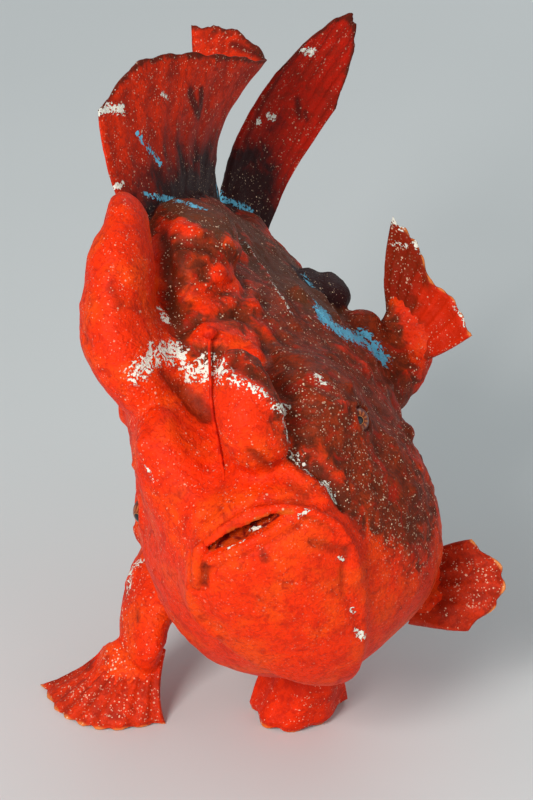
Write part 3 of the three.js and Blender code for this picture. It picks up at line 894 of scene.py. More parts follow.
DARK_WASHES = [
    Wash(345, 400, 80, 155, 27, 1.15),
    Wash(268, 268, 30, 125, 52, 1.0),
    Wash(200, 215, 20, 70, 62, 1.0),
    Wash(216, 208, 26, 74, 84, 1.25),
    Wash(212, 285, 60, 95, 4, 0.85),
    Wash(285, 360, 44, 60, 30, 0.75),
    Wash(398, 480, 40, 95, 12, 0.9),
    Wash(378, 330, 26, 70, 22, 1.0),
]
OLIVE_WASHES = [
    Wash(272, 262, 22, 110, 52, 1.0),
    Wash(200, 216, 12, 62, 66, 1.0),
]
SHADE_WASHES = [
    Wash(428, 335, 40, 80, 0, 0.32),
    Wash(405, 575, 44, 80, -10, 0.3),
    Wash(330, 575, 34, 40, 0, 0.16),
    Wash(100, 300, 26, 50, 0, 0.12),
    Wash(160, 470, 26, 60, 0, 0.1),
]
LOBE_EDGE_DOWN = (180, 195, 230, 300, 350, 380)
LOBE_EDGE_ACROSS = (140, 146, 159, 165, 180, 215)


# Shader building

class Flow:
    """A shader socket that takes part in Python arithmetic."""

    def __init__(self, bench: "Bench", socket: bpy.types.NodeSocket) -> None:
        """Keeps the socket and the bench that it belongs to."""
        self.bench = bench
        self.socket = socket

    def _math(self, operation: str, first: "Value", second: "Value" = 0.0) -> "Flow":
        """Adds one Math node."""
        node = self.bench.node("ShaderNodeMath", {"operation": operation}, {0: first, 1: second})
        return Flow(self.bench, node.outputs[0])

    def __add__(self, other: "Value") -> "Flow":
        """Adds."""
        return self._math("ADD", self, other)

    __radd__ = __add__

    def __sub__(self, other: "Value") -> "Flow":
        """Takes away."""
        return self._math("SUBTRACT", self, other)

    def __rsub__(self, other: "Value") -> "Flow":
        """Is taken away."""
        return self._math("SUBTRACT", other, self)

    def __mul__(self, other: "Value") -> "Flow":
        """Multiplies."""
        return self._math("MULTIPLY", self, other)

    __rmul__ = __mul__

    def most(self, other: "Value") -> "Flow":
        """Takes the larger of two."""
        return self._math("MAXIMUM", self, other)

    def between(self, low: float, high: float) -> "Flow":
        """Rises smoothly from 0 at low to 1 at high."""
        node = self.bench.node("ShaderNodeMapRange", {"interpolation_type": "SMOOTHSTEP"},
                               {"Value": self, "From Min": low, "From Max": high})
        return Flow(self.bench, node.outputs["Result"])


Value = Union[Flow, Number]


def added(tree: bpy.types.NodeTree, kind: str, settings: dict | None = None,
          links: dict | None = None) -> bpy.types.Node:
    """Adds a node to a tree.

    Args:
        tree: the tree.
        kind: the node's type.
        settings: its own properties, which are set first.
        links: for each socket, by name or number, a value, colour, socket or flow.

    Returns:
        The node.
    """
    made = tree.nodes.new(kind)
    for key, value in (settings or {}).items():
        setattr(made, key, value)
    for key, value in (links or {}).items():
        socket = made.inputs[key]
        given = value.socket if isinstance(value, Flow) else value
        if isinstance(given, bpy.types.NodeSocket):
            tree.links.new(given, socket)
        elif socket.type == "RGBA":
            socket.default_value = (*given, 1)
        else:
            socket.default_value = given
    return made


class Bench:
    """Builds one material from nodes."""

    def __init__(self, name: str) -> None:
        """Starts an empty material.

        Args:
            name: the material's name.
        """
        self.material = bpy.data.materials.new(name)
        self.material.use_nodes = True
        self.tree = self.material.node_tree
        self.tree.nodes.clear()
        self.place = self.node("ShaderNodeTexCoord").outputs["Object"]

    def node(self, kind: str, settings: dict | None = None, links: dict | None = None) -> bpy.types.Node:
        """Adds a node to the material."""
        return added(self.tree, kind, settings, links)

    def mark(self, name: str) -> Flow:
        """Reads a value that the mesh carries."""
        node = self.node("ShaderNodeAttribute", {"attribute_name": name})
        return Flow(self, node.outputs["Fac"])

    def noise(self, size: float, detail: float = 3, warp: float = 0) -> Flow:
        """Gives cloudy noise whose patches are about size metres wide."""
        node = self.node("ShaderNodeTexNoise", {}, {
            "Vector": self.place, "Scale": 1 / size, "Detail": detail, "Distortion": warp})
        return Flow(self, node.outputs["Fac"])

    def cells(self, size: float, feature: str = "F1") -> Flow:
        """Gives the distance to the nearest of points that are about size metres apart."""
        node = self.node("ShaderNodeTexVoronoi", {"feature": feature}, {
            "Vector": self.place, "Scale": 1 / size})
        return Flow(self, node.outputs["Distance"])

    def mix(self, share: Value, first: Union[Flow, Colour], second: Union[Flow, Colour]) -> Flow:
        """Mixes two colours by a share."""
        node = self.node("ShaderNodeMix", {"data_type": "RGBA"}, {0: share, 6: first, 7: second})
        return Flow(self, node.outputs[2])

    def bump(self, height: Flow, depth: float, strength: float = 1.0) -> Flow:
        """Turns a height into a bent normal; depth is in metres."""
        node = self.node("ShaderNodeBump", {}, {
            "Height": height, "Distance": depth, "Strength": strength})
        return Flow(self, node.outputs["Normal"])

    def finish(self, colour: Union[Flow, Colour], roughness: Value, normal: Flow | None = None,
               fixed: dict | None = None) -> bpy.types.Material:
        """Ends the material in one surface shader.

        Args:
            colour: the base colour.
            roughness: the roughness.
            normal: the bent normal, if any.
            fixed: other sockets, each the same all over.

        Returns:
            The material.
        """
        links = {"Base Color": colour, "Roughness": roughness, **(fixed or {})}
        if normal is not None:
            links["Normal"] = normal
        shader = self.node("ShaderNodeBsdfPrincipled", {}, links)
        self.node("ShaderNodeOutputMaterial", {}, {"Surface": shader.outputs["BSDF"]})
        return self.material


# Finishes

@dataclass(frozen=True)
class Dots:
    """Round specks in metres: the gap between them, and the noise that varies their width."""

    gap: float
    drift: float
    width: float
    edge: float

    def over(self, bench: Bench) -> Flow:
        """Gives where the specks are, from 0 to 1."""
        return (bench.noise(self.drift, 1) * self.width - bench.cells(self.gap)).between(0.0, self.edge)


LARGE_DOTS = Dots(1.8 * MILLIMETRE, 3 * MILLIMETRE, 0.37, 0.06)
DENSE_DOTS = Dots(1.2 * MILLIMETRE, 2.2 * MILLIMETRE, 0.5, 0.08)
SMALL_DOTS = Dots(0.9 * MILLIMETRE, 2.2 * MILLIMETRE, 0.44, 0.08)
DOT_PATCHES = 9 * MILLIMETRE
LARGE_DOT_PATCHES = 2.7 * MILLIMETRE
SMALL_DOT_PATCHES = 2 * MILLIMETRE
CRUST_THREADS = 2.1 * MILLIMETRE


def soft_flesh(depth: float) -> dict[str, Union[float, Colour]]:
    """Lists the fixed sockets of dull flesh that light enters down to a depth in metres."""
    return {"Subsurface Weight": 0.04, "Subsurface Radius": (1.0, 0.2, 0.08),
            "Subsurface Scale": depth, "Specular IOR Level": 0.1}


@dataclass(frozen=True)
class SkinFinish:
    """The body's skin: bright orange-red face, dark brown flank, crusts and fine white specks."""

    name: str = "frogfish_skin"
    bright: Colour = (0.8, 0.028, 0.001)
    orange: Colour = (0.84, 0.064, 0.002)
    red: Colour = (0.46, 0.012, 0.002)
    brown: Colour = (0.25, 0.026, 0.005)
    deep: Colour = (0.085, 0.014, 0.005)
    olive: Colour = (0.11, 0.032, 0.012)
    maroon: Colour = (0.03, 0.006, 0.006)
    mouth: Colour = (0.13, 0.005, 0.004)
    gum: Colour = (0.5, 0.045, 0.004)
    tan: Colour = (0.55, 0.09, 0.006)
    white: Colour = (0.8, 0.78, 0.68)
    # Painted shade light: the blue of white crust in shade, not a colour of its own.
    turquoise: Colour = (0.14, 0.48, 0.68)
    speck: Colour = (0.9, 0.62, 0.42)
    cloud_size: float = 14 * MILLIMETRE
    rust_size: float = 7 * MILLIMETRE
    mottle_size: float = 4.2 * MILLIMETRE
    net_size: float = 2.6 * MILLIMETRE
    fleck_size: float = 1.6 * MILLIMETRE
    grain_size: float = 0.8 * MILLIMETRE
    relief: float = 0.8 * MILLIMETRE
    light_depth: float = 2 * MILLIMETRE

    def material(self) -> bpy.types.Material:
        """Builds the skin's material.

        Returns:
            The material.
        """
        bench = Bench(self.name)
        cloud = bench.noise(self.cloud_size, 4, 0.4)
        mottle = bench.noise(self.mottle_size, 5, 0.8)
        fleck = bench.noise(self.fleck_size, 4, 1.2)
        grain = bench.noise(self.grain_size, 3)
        dark = self.darkness(bench, mottle, cloud)
        colour = bench.mix(dark, self.face(bench, mottle, cloud, fleck), self.flank(bench, mottle, fleck))
        rooted = (bench.mark("root") + (mottle - 0.5) * 0.8).between(0.35, 0.75)
        colour = bench.mix(rooted, colour, self.maroon)
        shade = (bench.mark("shade") + (mottle - 0.5) * 0.5 * bench.mark("shade")).between(0.08, 0.95)
        colour = bench.mix(shade * 0.82, colour, self.deep)
        # Painted shade: low places between the lumps darkened.
        colour = bench.mix(bench.mark("hollow_shade") * 0.62, colour, self.deep)
        colour = bench.mix(bench.mark("lip").between(0.2, 0.9) * 0.75, colour, self.tan)
        inside = bench.mark("inside")
        lining = bench.mix(mottle.between(0.4, 0.6), self.mouth, self.gum)
        colour = bench.mix(inside.between(0.1, 0.6), colour, lining)
        specks = self.specks(bench, 0.45 + dark * 0.55 - bench.mark("chin") * 0.3)
        colour = bench.mix(specks, colour, self.speck)
        crust, turquoise = self.crusts(bench, grain)
        colour = bench.mix(crust, colour, self.white)
        # Painted shade: white crust shown blue, as in shade under bluish light.
        colour = bench.mix(turquoise, colour, self.turquoise)
        height = grain * 0.4 + mottle * 0.7 + fleck * 0.6 + crust.most(turquoise) * 0.9 + specks * 0.35
        rough = 0.42 + mottle * 0.2 + crust * 0.3 - inside * 0.3
        normal = bench.bump(height, self.relief, 0.8)
        return bench.finish(colour, rough, normal, soft_flesh(self.light_depth))

    def face(self, bench: Bench, mottle: Flow, cloud: Flow, fleck: Flow) -> Flow:
        """Mixes the bright skin: orange clouds, dark red flecks and the chin's pale net.

        Args:
            bench: the skin's bench.
            mottle: noise of middle size.
            cloud: wide noise.
            fleck: fine noise.

        Returns:
            The colour.
        """
        chin = bench.mark("chin")
        colour = bench.mix(cloud.between(0.42, 0.66) * 0.8, self.bright, self.orange)
        colour = bench.mix(mottle.between(0.48, 0.72) * 0.6, colour, self.red)
        colour = bench.mix(fleck.between(0.48, 0.64) * 0.5, colour, self.red)
        net = 1 - bench.cells(self.net_size, "DISTANCE_TO_EDGE").between(0.0, 0.2)
        return bench.mix(net * chin * 0.3 * cloud.between(0.3, 0.7), colour, self.orange)

    def flank(self, bench: Bench, mottle: Flow, fleck: Flow) -> Flow:
        """Mixes the dark skin: brown-red with deep flecks, rust and the back's olive band.

        Args:
            bench: the skin's bench.
            mottle: noise of middle size.
            fleck: fine noise.

        Returns:
            The colour.
        """
        colour = bench.mix(mottle.between(0.4, 0.66) * 0.75, self.brown, self.deep)
        colour = bench.mix(fleck.between(0.5, 0.62) * 0.5, colour, self.deep)
        rust = bench.noise(self.rust_size, 4, 1.0).between(0.5, 0.72)
        colour = bench.mix(rust * 0.75, colour, self.red)
        band = (bench.mark("olive") + (mottle - 0.5) * 0.8).between(0.4, 0.8)
        return bench.mix(band * 0.8, colour, self.olive)

    @staticmethod
    def darkness(bench: Bench, mottle: Flow, cloud: Flow) -> Flow:
        """Finds where the dark skin lies, broken by the bright lumps, by mottling and by painted light on
        raised places, with painted shade in low ones.

        Args:
            bench: the skin's bench.
            mottle: noise of middle size.
            cloud: wide noise.

        Returns:
            Its share, from 0 to 1.
        """
        total = (bench.mark("dark") - bench.mark("bright") * 0.45 - bench.mark("height") * 0.3
                 + (mottle - 0.5) * 1.4 + (cloud - 0.5) * 0.8)
        return total.between(0.12, 0.8)

    @staticmethod
    def specks(bench: Bench, share: Value) -> Flow:
        """Scatters fine pale specks of several sizes.

        Args:
            bench: the bench of the skin or of a fin.
            share: how strongly they show.

        Returns:
            Where the specks are, from 0 to 1.
        """
        patch = bench.noise(DOT_PATCHES, 3).between(0.36, 0.54)
        large = LARGE_DOTS.over(bench) * bench.noise(LARGE_DOT_PATCHES, 2).between(0.49, 0.55)
        small = SMALL_DOTS.over(bench) * bench.noise(SMALL_DOT_PATCHES, 2).between(0.43, 0.5)
        dense = DENSE_DOTS.over(bench) * bench.mark("fleck")
        return (large.most(small * 0.85) * patch * share).most(dense * 0.85)

    @staticmethod
    def crusts(bench: Bench, grain: Flow) -> tuple[Flow, Flow]:
        """Breaks the white crust, and the crust painted blue as in shade, up into grains and threads.

        Args:
            bench: the bench of the skin or of a fin.
            grain: very fine noise.

        Returns:
            Where the white crust and the crust painted blue as in shade are, from 0 to 1.
        """
        thread = bench.noise(CRUST_THREADS, 2.5, 1.6)
        broken = (thread - 0.5) * 2.8 + (grain - 0.5) * 1.2
        crust, turquoise = bench.mark("crust"), bench.mark("turquoise")
        white = (crust * 0.84 + broken).between(0.4, 0.52) * crust.between(0.1, 0.3)
        blue = (turquoise * 0.82 + broken).between(0.36, 0.5) * turquoise.between(0.1, 0.3)
        return white, blue


@dataclass(frozen=True)
class FinFinish:
    """A fin's membrane: dark at its root, red beyond, ribbed by its rays and pale at its edge."""

    name: str
    root: Colour
    blade: Colour
    patch: Colour
    edge: Colour
    root_reach: float
    far: Colour | None = None
    side_from: float = 2.0
    speckled: float = 0.6
    root_patch: Colour = (0.02, 0.005, 0.005)
    black: Colour = (0.05, 0.006, 0.004)
    cloud_size: float = 9 * MILLIMETRE
    mottle_size: float = 3.4 * MILLIMETRE
    fleck_size: float = 1.5 * MILLIMETRE
    grain_size: float = 0.8 * MILLIMETRE
    relief: float = 0.7 * MILLIMETRE
    light_depth: float = 1.5 * MILLIMETRE

    def material(self) -> bpy.types.Material:
        """Builds the fin's material.

        Returns:
            The material.
        """
        bench = Bench(self.name)
        along = bench.mark("along")
        ray = bench.mark("ray")
        cloud = bench.noise(self.cloud_size, 4, 0.6)
        mottle = bench.noise(self.mottle_size, 4, 0.8)
        fleck = bench.noise(self.fleck_size, 4, 1.2)
        grain = bench.noise(self.grain_size, 3)
        blade = bench.mix(mottle.between(0.45, 0.68) * 0.7, self.blade, self.patch)
        blade = bench.mix(cloud.between(0.5, 0.68) * 0.6, blade, self.patch)
        blade = bench.mix(fleck.between(0.48, 0.62) * 0.4, blade, self.patch)
        if self.far is not None:
            side = bench.mark("across") + (cloud - 0.5) * 0.5
            blade = bench.mix(side.between(self.side_from, self.side_from + 0.16), blade, self.far)
        blade = bench.mix((1 - ray) * 0.22, blade, self.patch)
        root = bench.mix(mottle.between(0.45, 0.68) * 0.6, self.root, self.root_patch)
        low = self.root_reach - 0.16
        rooted = 1 - (along + (cloud - 0.5) * 0.5 + (mottle - 0.5) * 0.2).between(low, low + 0.34)
        colour = bench.mix(rooted, blade, root)
        colour = bench.mix(bench.mark("shade").between(0.1, 0.9) * 0.85, colour, self.black)
        rim = (along + (mottle - 0.5) * 0.06).between(0.95, 0.985)
        colour = bench.mix(rim * 0.8, colour, self.edge)
        colour = bench.mix(SkinFinish.specks(bench, self.speckled), colour, SkinFinish.speck)
        white, blue = SkinFinish.crusts(bench, grain)
        colour = bench.mix(white, colour, SkinFinish.white)
        # Painted shade: white crust shown blue, as in shade under bluish light.
        colour = bench.mix(blue, colour, SkinFinish.turquoise)
        height = ray * 0.4 + mottle * 0.7 + fleck * 0.5 + grain * 0.35 + white.most(blue) * 0.9
        rough = 0.46 + mottle * 0.2 + white * 0.25
        normal = bench.bump(height, self.relief, 0.75)
        return bench.finish(colour, rough, normal, soft_flesh(self.light_depth))


@dataclass(frozen=True)
class EyeFinish:
    """A wet eye: dark pupil, spoked iris and a camouflaged rim."""

    name: str = "frogfish_eye"
    pupil: Colour = (0.004, 0.004, 0.006)
    iris: Colour = (0.16, 0.02, 0.005)
    spoke: Colour = (0.42, 0.1, 0.02)
    ring: Colour = (0.5, 0.2, 0.04)
    rim: Colour = (0.12, 0.014, 0.005)
    drift_size: float = 1.2 * MILLIMETRE

    def material(self) -> bpy.types.Material:
        """Builds the eye's material.

        Returns:
            The material.
        """
        bench = Bench(self.name)
        polar = bench.mark("polar")
        spokes = bench.mark("spoke") * polar.between(0.3, 0.45) + (bench.noise(self.drift_size) - 0.5) * 0.4
        colour = bench.mix(spokes.between(0.35, 0.75), self.iris, self.spoke)
        colour = bench.mix(polar.between(0.72, 0.95), colour, self.rim)
        ring = (1 - polar.between(0.3, 0.33)) * polar.between(0.27, 0.3)
        colour = bench.mix(ring, colour, self.ring)
        colour = bench.mix(1 - polar.between(0.25, 0.28), colour, self.pupil)
        return bench.finish(colour, 0.22 + polar.between(0.6, 0.9) * 0.3, None, {
            "Coat Weight": 0.3, "Coat Roughness": 0.12, "Specular IOR Level": 0.25})


@dataclass(frozen=True)
class GrainFinish:
    """Small grains and skin flaps in one colour that drifts a little."""

    name: str
    colour: Colour
    other: Colour
    roughness: float = 0.6
    drift_size: float = 2.5 * MILLIMETRE
    fine_size: float = 0.6 * MILLIMETRE
    relief: float = 0.2 * MILLIMETRE

    def material(self) -> bpy.types.Material:
        """Builds the grains' material.

        Returns:
            The material.
        """
        bench = Bench(self.name)
        drift = bench.noise(self.drift_size, 2)
        fine = bench.noise(self.fine_size, 2)
        colour = bench.mix(drift.between(0.35, 0.65), self.colour, self.other)
        rough = self.roughness + fine * 0.15
        return bench.finish(colour, rough, bench.bump(fine, self.relief, 0.5), {"Specular IOR Level": 0.12})


@dataclass(frozen=True)
class FloorFinish:
    """A plain pale floor."""

    name: str = "studio_floor"
    pale: Colour = (0.66, 0.68, 0.68)
    darker: float = 0.96
    drift_size: float = 0.4

    def material(self) -> bpy.types.Material:
        """Builds the floor's material.

        Returns:
            The material.
        """
        bench = Bench(self.name)
        drift = bench.noise(self.drift_size, 3)
        other = tuple(self.darker * part for part in self.pale)
        return bench.finish(bench.mix(drift.between(0.3, 0.7), self.pale, other), 0.7)


# The skin over the flesh

@dataclass(frozen=True)
class Swelling:
    """A rounded swelling of the flesh: its middle on the fish and its half sizes."""

    at: tuple[float, float, float]
    half: tuple[float, float, float]

    BALL = Ball(rings=16, turns=28)

    def shape(self) -> Shape:
        """Makes the swelling.

        Returns:
            A closed ellipsoid.
        """
        places = self.BALL.directions(np.eye(3)) * np.array(self.half) + np.array(self.at)
        return Shape(FISH.on_fish(places), self.BALL.faces()).outward()


@dataclass
class Skin:
    """One skin over head, jaw, trunk, tail root, dorsal lobes and arms.

    A pair such as chin_top is where a value is 0 and where it is 1, in hundredths on the fish,
    in metres from a surface, or, for the lobe's fade, in pixels.
    """

    nodes: tuple[str, ...] = ("head", "lower_jaw", "trunk", "tail_root", "second_dorsal_spine",
                              "third_dorsal_spine", "right_pectoral_arm", "left_pectoral_arm")
    swellings: tuple[Swelling, ...] = (
        Swelling((1, -1.5, 31), (11, 7, 6)),
        Swelling((-18, 5.4, 8.4), (5, 3, 3)),
        Swelling((-18, 8, 6.6), (5, 3, 3)),
        Swelling((-12.5, 10.5, 1), (4, 3.6, 4.5)),
    )
    dark_fold: tuple[float, float, float] = (-18.5, 7.4, 8.2)
    dark_fold_fade: tuple[float, float] = (6.5, 4.5)
    root_fade: tuple[float, float] = (2 * MILLIMETRE, 8 * MILLIMETRE)
    brown_fade: tuple[float, float] = (5 * MILLIMETRE, 17 * MILLIMETRE)
    chin_forward: tuple[float, float] = (27, 33)
    chin_top: tuple[float, float] = (12, 8)
    chin_side: tuple[float, float] = (17, 11)
    chin_middle: float = -3
    chin_calm: float = 0.75
    lobe_up: tuple[float, float] = (22, 27)
    lobe_forward: tuple[float, float] = (3, 6)
    lobe_fade: tuple[float, float] = (6, -6)
    inside_fade: tuple[float, float] = (-1.2 * MILLIMETRE, -3 * MILLIMETRE)
    # Painted shade of low places: none at the first height, full at the second.
    hollow_shade_fade: tuple[float, float] = (-0.1 * MILLIMETRE, -1.3 * MILLIMETRE)
    eye_hold: tuple[float, float] = (9.5 * MILLIMETRE, 6.5 * MILLIMETRE)
    lip_width: float = 2.2
    jaw_axis: tuple[float, float] = (-2.4, 1)
    voxel: float = 1.12 * MILLIMETRE
    swell: float = 0.26 * MILLIMETRE
    jaw_swell: float = 4.5 * MILLIMETRE
    slit_half: float = 2.2 * MILLIMETRE
    slit_corners: tuple[float, float] = (0.5, 0.32)
    slit_depth: float = 9 * MILLIMETRE
    slit_outside: float = 5 * MILLIMETRE
    slit_stations: int = 26
    slit_knots: int = 8
    slit_inward: tuple[float, float, float] = (-0.95, 0, 0.3)
    slit_flare: float = 1.2
    slit_waist: float = 0.7
    slit_taper: float = 0.8
    smoothing: int = 10
    last_smoothing: int = 2
    lumps: Bumps = Bumps(7.0, 3, 11, 0.9 * MILLIMETRE)
    knobs: Bumps = Bumps(3.0, 2, 17, 1.5 * MILLIMETRE, -0.15)
    pebbles: Bumps = Bumps(1.7, 2, 23, 0.42 * MILLIMETRE, -0.2)
    fine: Bumps = Bumps(0.75, 2, 31, 0.2 * MILLIMETRE)
    crust_rise: float = 1.2 * MILLIMETRE
    knobs_on_bright: float = 0.35
    height_limit: float = 1.2

    def swollen(self, node: str) -> Shape:
        """Copies a solid and pushes its points out, so that it meets its neighbours.

        Args:
            node: the name of the solid.

        Returns:
            The swollen solid. The jaw swells most, away from its own long axis.
        """
        shape = merged_solid(node)
        normals = shape.normals()
        if node == "lower_jaw":
            fish = FISH.to_fish(shape.points)
            left, up = self.jaw_axis
            aside = np.stack([np.zeros(len(fish)), fish[:, 1] - left, fish[:, 2] - up], axis=1)
            aside /= np.linalg.norm(aside, axis=1, keepdims=True) + 1e-9
            shape.points = shape.points + aside @ FISH.axes() * self.jaw_swell
        shape.points = shape.points + normals * self.swell
        return shape

    def remeshed(self, shapes: Iterable[Shape]) -> Shape:
        """Joins closed shapes into one even mesh.

        Args:
            shapes: closed shapes that overlap.

        Returns:
            The largest closed surface round them all.
        """
        points: list[np.ndarray] = []
        faces: list[tuple[int, ...]] = []
        start = 0
        for shape in shapes:
            points.append(shape.points)
            faces.extend(tuple(start + k for k in face) for face in shape.faces)
            start += len(shape.points)
        draft = Shape(np.vstack(points), faces).object("skin_draft")
        remesh = draft.modifiers.new("even", "REMESH")
        remesh.mode = "VOXEL"
        remesh.voxel_size = self.voxel
        made = plain_copy(draft)
        shape = Shape.of(made)
        bpy.data.objects.remove(made)
        return self.largest(shape)

    @staticmethod
    def largest(shape: Shape) -> Shape:
        """Keeps the largest of a shape's separate surfaces.

        Args:
            shape: one or more closed surfaces.

        Returns:
            The one with the most points.
        """
        triangles = shape.corners()
        label = np.arange(len(shape.points))
        while True:
            lowest = label[triangles].min(1)
            new = label.copy()
            for k in range(3):
                np.minimum.at(new, triangles[:, k], lowest)
            new = new[new]
            if np.array_equal(new, label):
                break
            label = new
        main = np.bincount(label).argmax()
        kept = label == main
        number = np.cumsum(kept) - 1
        faces = [tuple(number[list(face)]) for face in shape.faces if kept[face[0]]]
        return Shape(shape.points[kept], faces)

    def slit(self, tree: BVHTree) -> Shape:
        """Makes the blade that cuts the mouth open, thin at both corners.

        Args:
            tree: the closed skin.

        Returns:
            A closed blade along the mouth's line.
        """
        line = Marks(strokes(Mark.SHADE, (MOUTH_SLIT, 1, 1)), tree).spots[0]
        places = np.linspace(0, 1, self.slit_stations)
        centre = curve_through(line[:: max(1, len(line) // self.slit_knots)], places)
        inward = np.array(self.slit_inward) @ FISH.axes()
        inward /= np.linalg.norm(inward)
        rings = []
        for k, spot in enumerate(centre):
            ahead = centre[min(k + 1, len(centre) - 1)] - centre[max(k - 1, 0)]
            over = np.cross(ahead, inward)
            over /= np.linalg.norm(over)
            bow = math.sin(math.pi * places[k])
            corner = self.slit_corners[0] if places[k] < 0.5 else self.slit_corners[1]
            half = self.slit_half * (corner + (1 - corner) * bow)
            front = spot - inward * self.slit_outside
            waist = spot + inward * self.slit_depth * self.slit_waist
            rings.append([front + over * half * self.slit_flare, spot + over * half,
                          waist + over * half * self.slit_taper, spot + inward * self.slit_depth,
                          waist - over * half * self.slit_taper, spot - over * half,
                          front - over * half * self.slit_flare])
        count = len(rings[0])
        last = (len(rings) - 1) * count
        faces: list[Sequence[int]] = [tuple(reversed(range(count))), tuple(range(last, last + count))]
        for first in range(0, last, count):
            for j in range(count):
                n = (j + 1) % count
                faces.append((first + j, first + n, first + count + n, first + count + j))
        return Shape(np.array(rings).reshape(-1, 3), faces).outward()

    def opened(self, closed: Shape, blade: Shape) -> Shape:
        """Cuts the mouth open and evens the mesh again.

        Args:
            closed: the closed skin.
            blade: what is cut away.

        Returns:
            The open skin.
        """
        head = closed.object("skin_closed")
        knife = blade.object("mouth_blade")
        cut = head.modifiers.new("mouth", "BOOLEAN")
        cut.operation = "DIFFERENCE"
        cut.object = knife
        cut.solver = "MANIFOLD"
        made = plain_copy(head)
        bpy.data.objects.remove(knife)
        shape = Shape.of(made)
        bpy.data.objects.remove(made)
        return self.remeshed([shape])

    def base(self, collars: Sequence[Shape]) -> tuple[Shape, Shape]:
        """Builds the skin before its marks.

        Args:
            collars: the flesh round each fin's root.

        Returns:
            The skin with its mouth open, and the closed skin that it was cut from.
        """
        flesh = [self.swollen(node) for node in self.nodes]
        swellings = [swelling.shape() for swelling in self.swellings]
        closed = self.remeshed([*flesh, *swellings, *collars])
        closed.smoothed(self.smoothing, self.kept(closed.points))
        return self.opened(closed, self.slit(closed.tree())), closed

    def kept(self, points: np.ndarray) -> np.ndarray:
        """Finds where the skin keeps its shape: round the eyes.

        Args:
            points: the skin's points.

        Returns:
            For each point, 0 where it may move and 1 where it stays.
        """
        near = []
        for node in ("left_eye", "right_eye"):
            low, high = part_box(node)
            middle = np.array((low + high) / 2)
            near.append(smooth_step(np.linalg.norm(points - middle, axis=1), *self.eye_hold))
        return np.maximum(*near)

    def finished(self, shape: Shape, closed: Shape, marks: Marks, dark_fins: BVHTree) -> Shape:
        """Raises lumps, folds, pebbles and creases, and writes the values that the finish reads.

        Args:
            shape: the skin with its mouth open.
            closed: the skin before the mouth was cut.
            marks: the strokes of the photograph.
            dark_fins: the fins whose roots are nearly black.

        Returns:
            The finished skin.
        """
        inside = smooth_step(distances_outside(closed.tree(), shape.points), *self.inside_fade)
        eye = self.kept(shape.points)
        shape.smoothed(self.last_smoothing, eye)
        fish = FISH.to_fish(shape.points)
        pixels = VIEW.pixels(shape.points)
        chin = self.chin(fish)
        lobe = self.lobe(fish, pixels)
        washes = washed(DARK_WASHES, pixels)
        crust = marks.strength(Mark.CRUST, shape.points)
        turquoise = marks.strength(Mark.SHADED_BLUE_CRUST, shape.points)
        relief = marks.strength(Mark.RELIEF, shape.points) * MILLIMETRE
        rise = relief + self.roughness(fish, washes, 1 - self.chin_calm * chin, np.maximum(crust, turquoise))
        shape.points = shape.points + shape.normals() * (rise * (1 - eye) * (1 - inside))[:, None]
        fold = smooth_step(np.linalg.norm(fish - np.array(self.dark_fold), axis=1), *self.dark_fold_fade)
        rooted = np.maximum(nearness(dark_fins, shape.points, *self.root_fade), fold)
        browned = nearness(dark_fins, shape.points, *self.brown_fade)
        shade = np.maximum(marks.strength(Mark.SHADE, shape.points), washed(SHADE_WASHES, pixels))
        height = np.clip(rise / MILLIMETRE, -self.height_limit, self.height_limit)
        band = Marks(strokes(Mark.SHADE, (LIP_BAND, self.lip_width, 1)), marks.tree)
        shape.values = {
            "dark": np.maximum(washes, browned) * (1 - lobe),
            "olive": washed(OLIVE_WASHES, pixels) * (1 - lobe),
            "root": rooted * (1 - lobe),
            "bright": marks.strength(Mark.BRIGHT, shape.points),
            "shade": shade * (1 - inside),
            "crust": crust,
            "turquoise": turquoise,
            "fleck": marks.strength(Mark.FLECK, shape.points) * (1 - inside),
            "chin": chin,
            # Painted shade in low places, from each point's height.
            "hollow_shade": smooth_step(rise, *self.hollow_shade_fade),
            # Painted light and shade: on the dark flank, raised places lighter and low places darker.
            "height": height * washes * (1 - lobe),
            "inside": inside,
            "lip": band.strength(Mark.SHADE, shape.points) * (1 - inside),
        }
        return shape

    def chin(self, fish: np.ndarray) -> np.ndarray:
        """Finds the smooth chin.

        Args:
            fish: the skin's points as places on the fish.

        Returns:
            One value for each point, from 0 to 1.
        """
        aside = np.abs(fish[:, 1] - self.chin_middle)
        return (smooth_step(fish[:, 0], *self.chin_forward) * smooth_step(fish[:, 2], *self.chin_top)
                * smooth_step(aside, *self.chin_side))

    def lobe(self, fish: np.ndarray, pixels: np.ndarray) -> np.ndarray:
        """Finds the bright lobe of the third dorsal spine, up to its edge in the photograph.

        Args:
            fish: the skin's points as places on the fish.
            pixels: where the same points fall in the photograph.

        Returns:
            One value for each point, from 0 to 1.
        """
        edge = np.interp(pixels[:, 1], LOBE_EDGE_DOWN, LOBE_EDGE_ACROSS)
        return (smooth_step(fish[:, 2], *self.lobe_up) * smooth_step(fish[:, 0], *self.lobe_forward)
                * smooth_step(pixels[:, 0] - edge, *self.lobe_fade))

    def roughness(self, fish: np.ndarray, washes: np.ndarray, calm: np.ndarray,
                  crusted: np.ndarray) -> np.ndarray:
        """Adds up the skin's lumps, knobs, pebbles and grains.

        Args:
            fish: the skin's points as places on the fish.
            washes: where the flank is dark, as the knobs are higher there.
            calm: the share of the height that is left.
            crusted: where crust lies, which grows in small grains.

        Returns:
            The height of each point in metres.
        """
        fine = self.fine.over(fish)
        knobs = self.knobs.over(fish) * (self.knobs_on_bright + (1 - self.knobs_on_bright) * washes)
        rise = (self.lumps.over(fish) * self.lumps.height + self.pebbles.over(fish) * self.pebbles.height
                + knobs * self.knobs.height + fine * self.fine.height) * calm
        return rise + crusted * np.maximum(fine, 0) * self.crust_rise


# Fins

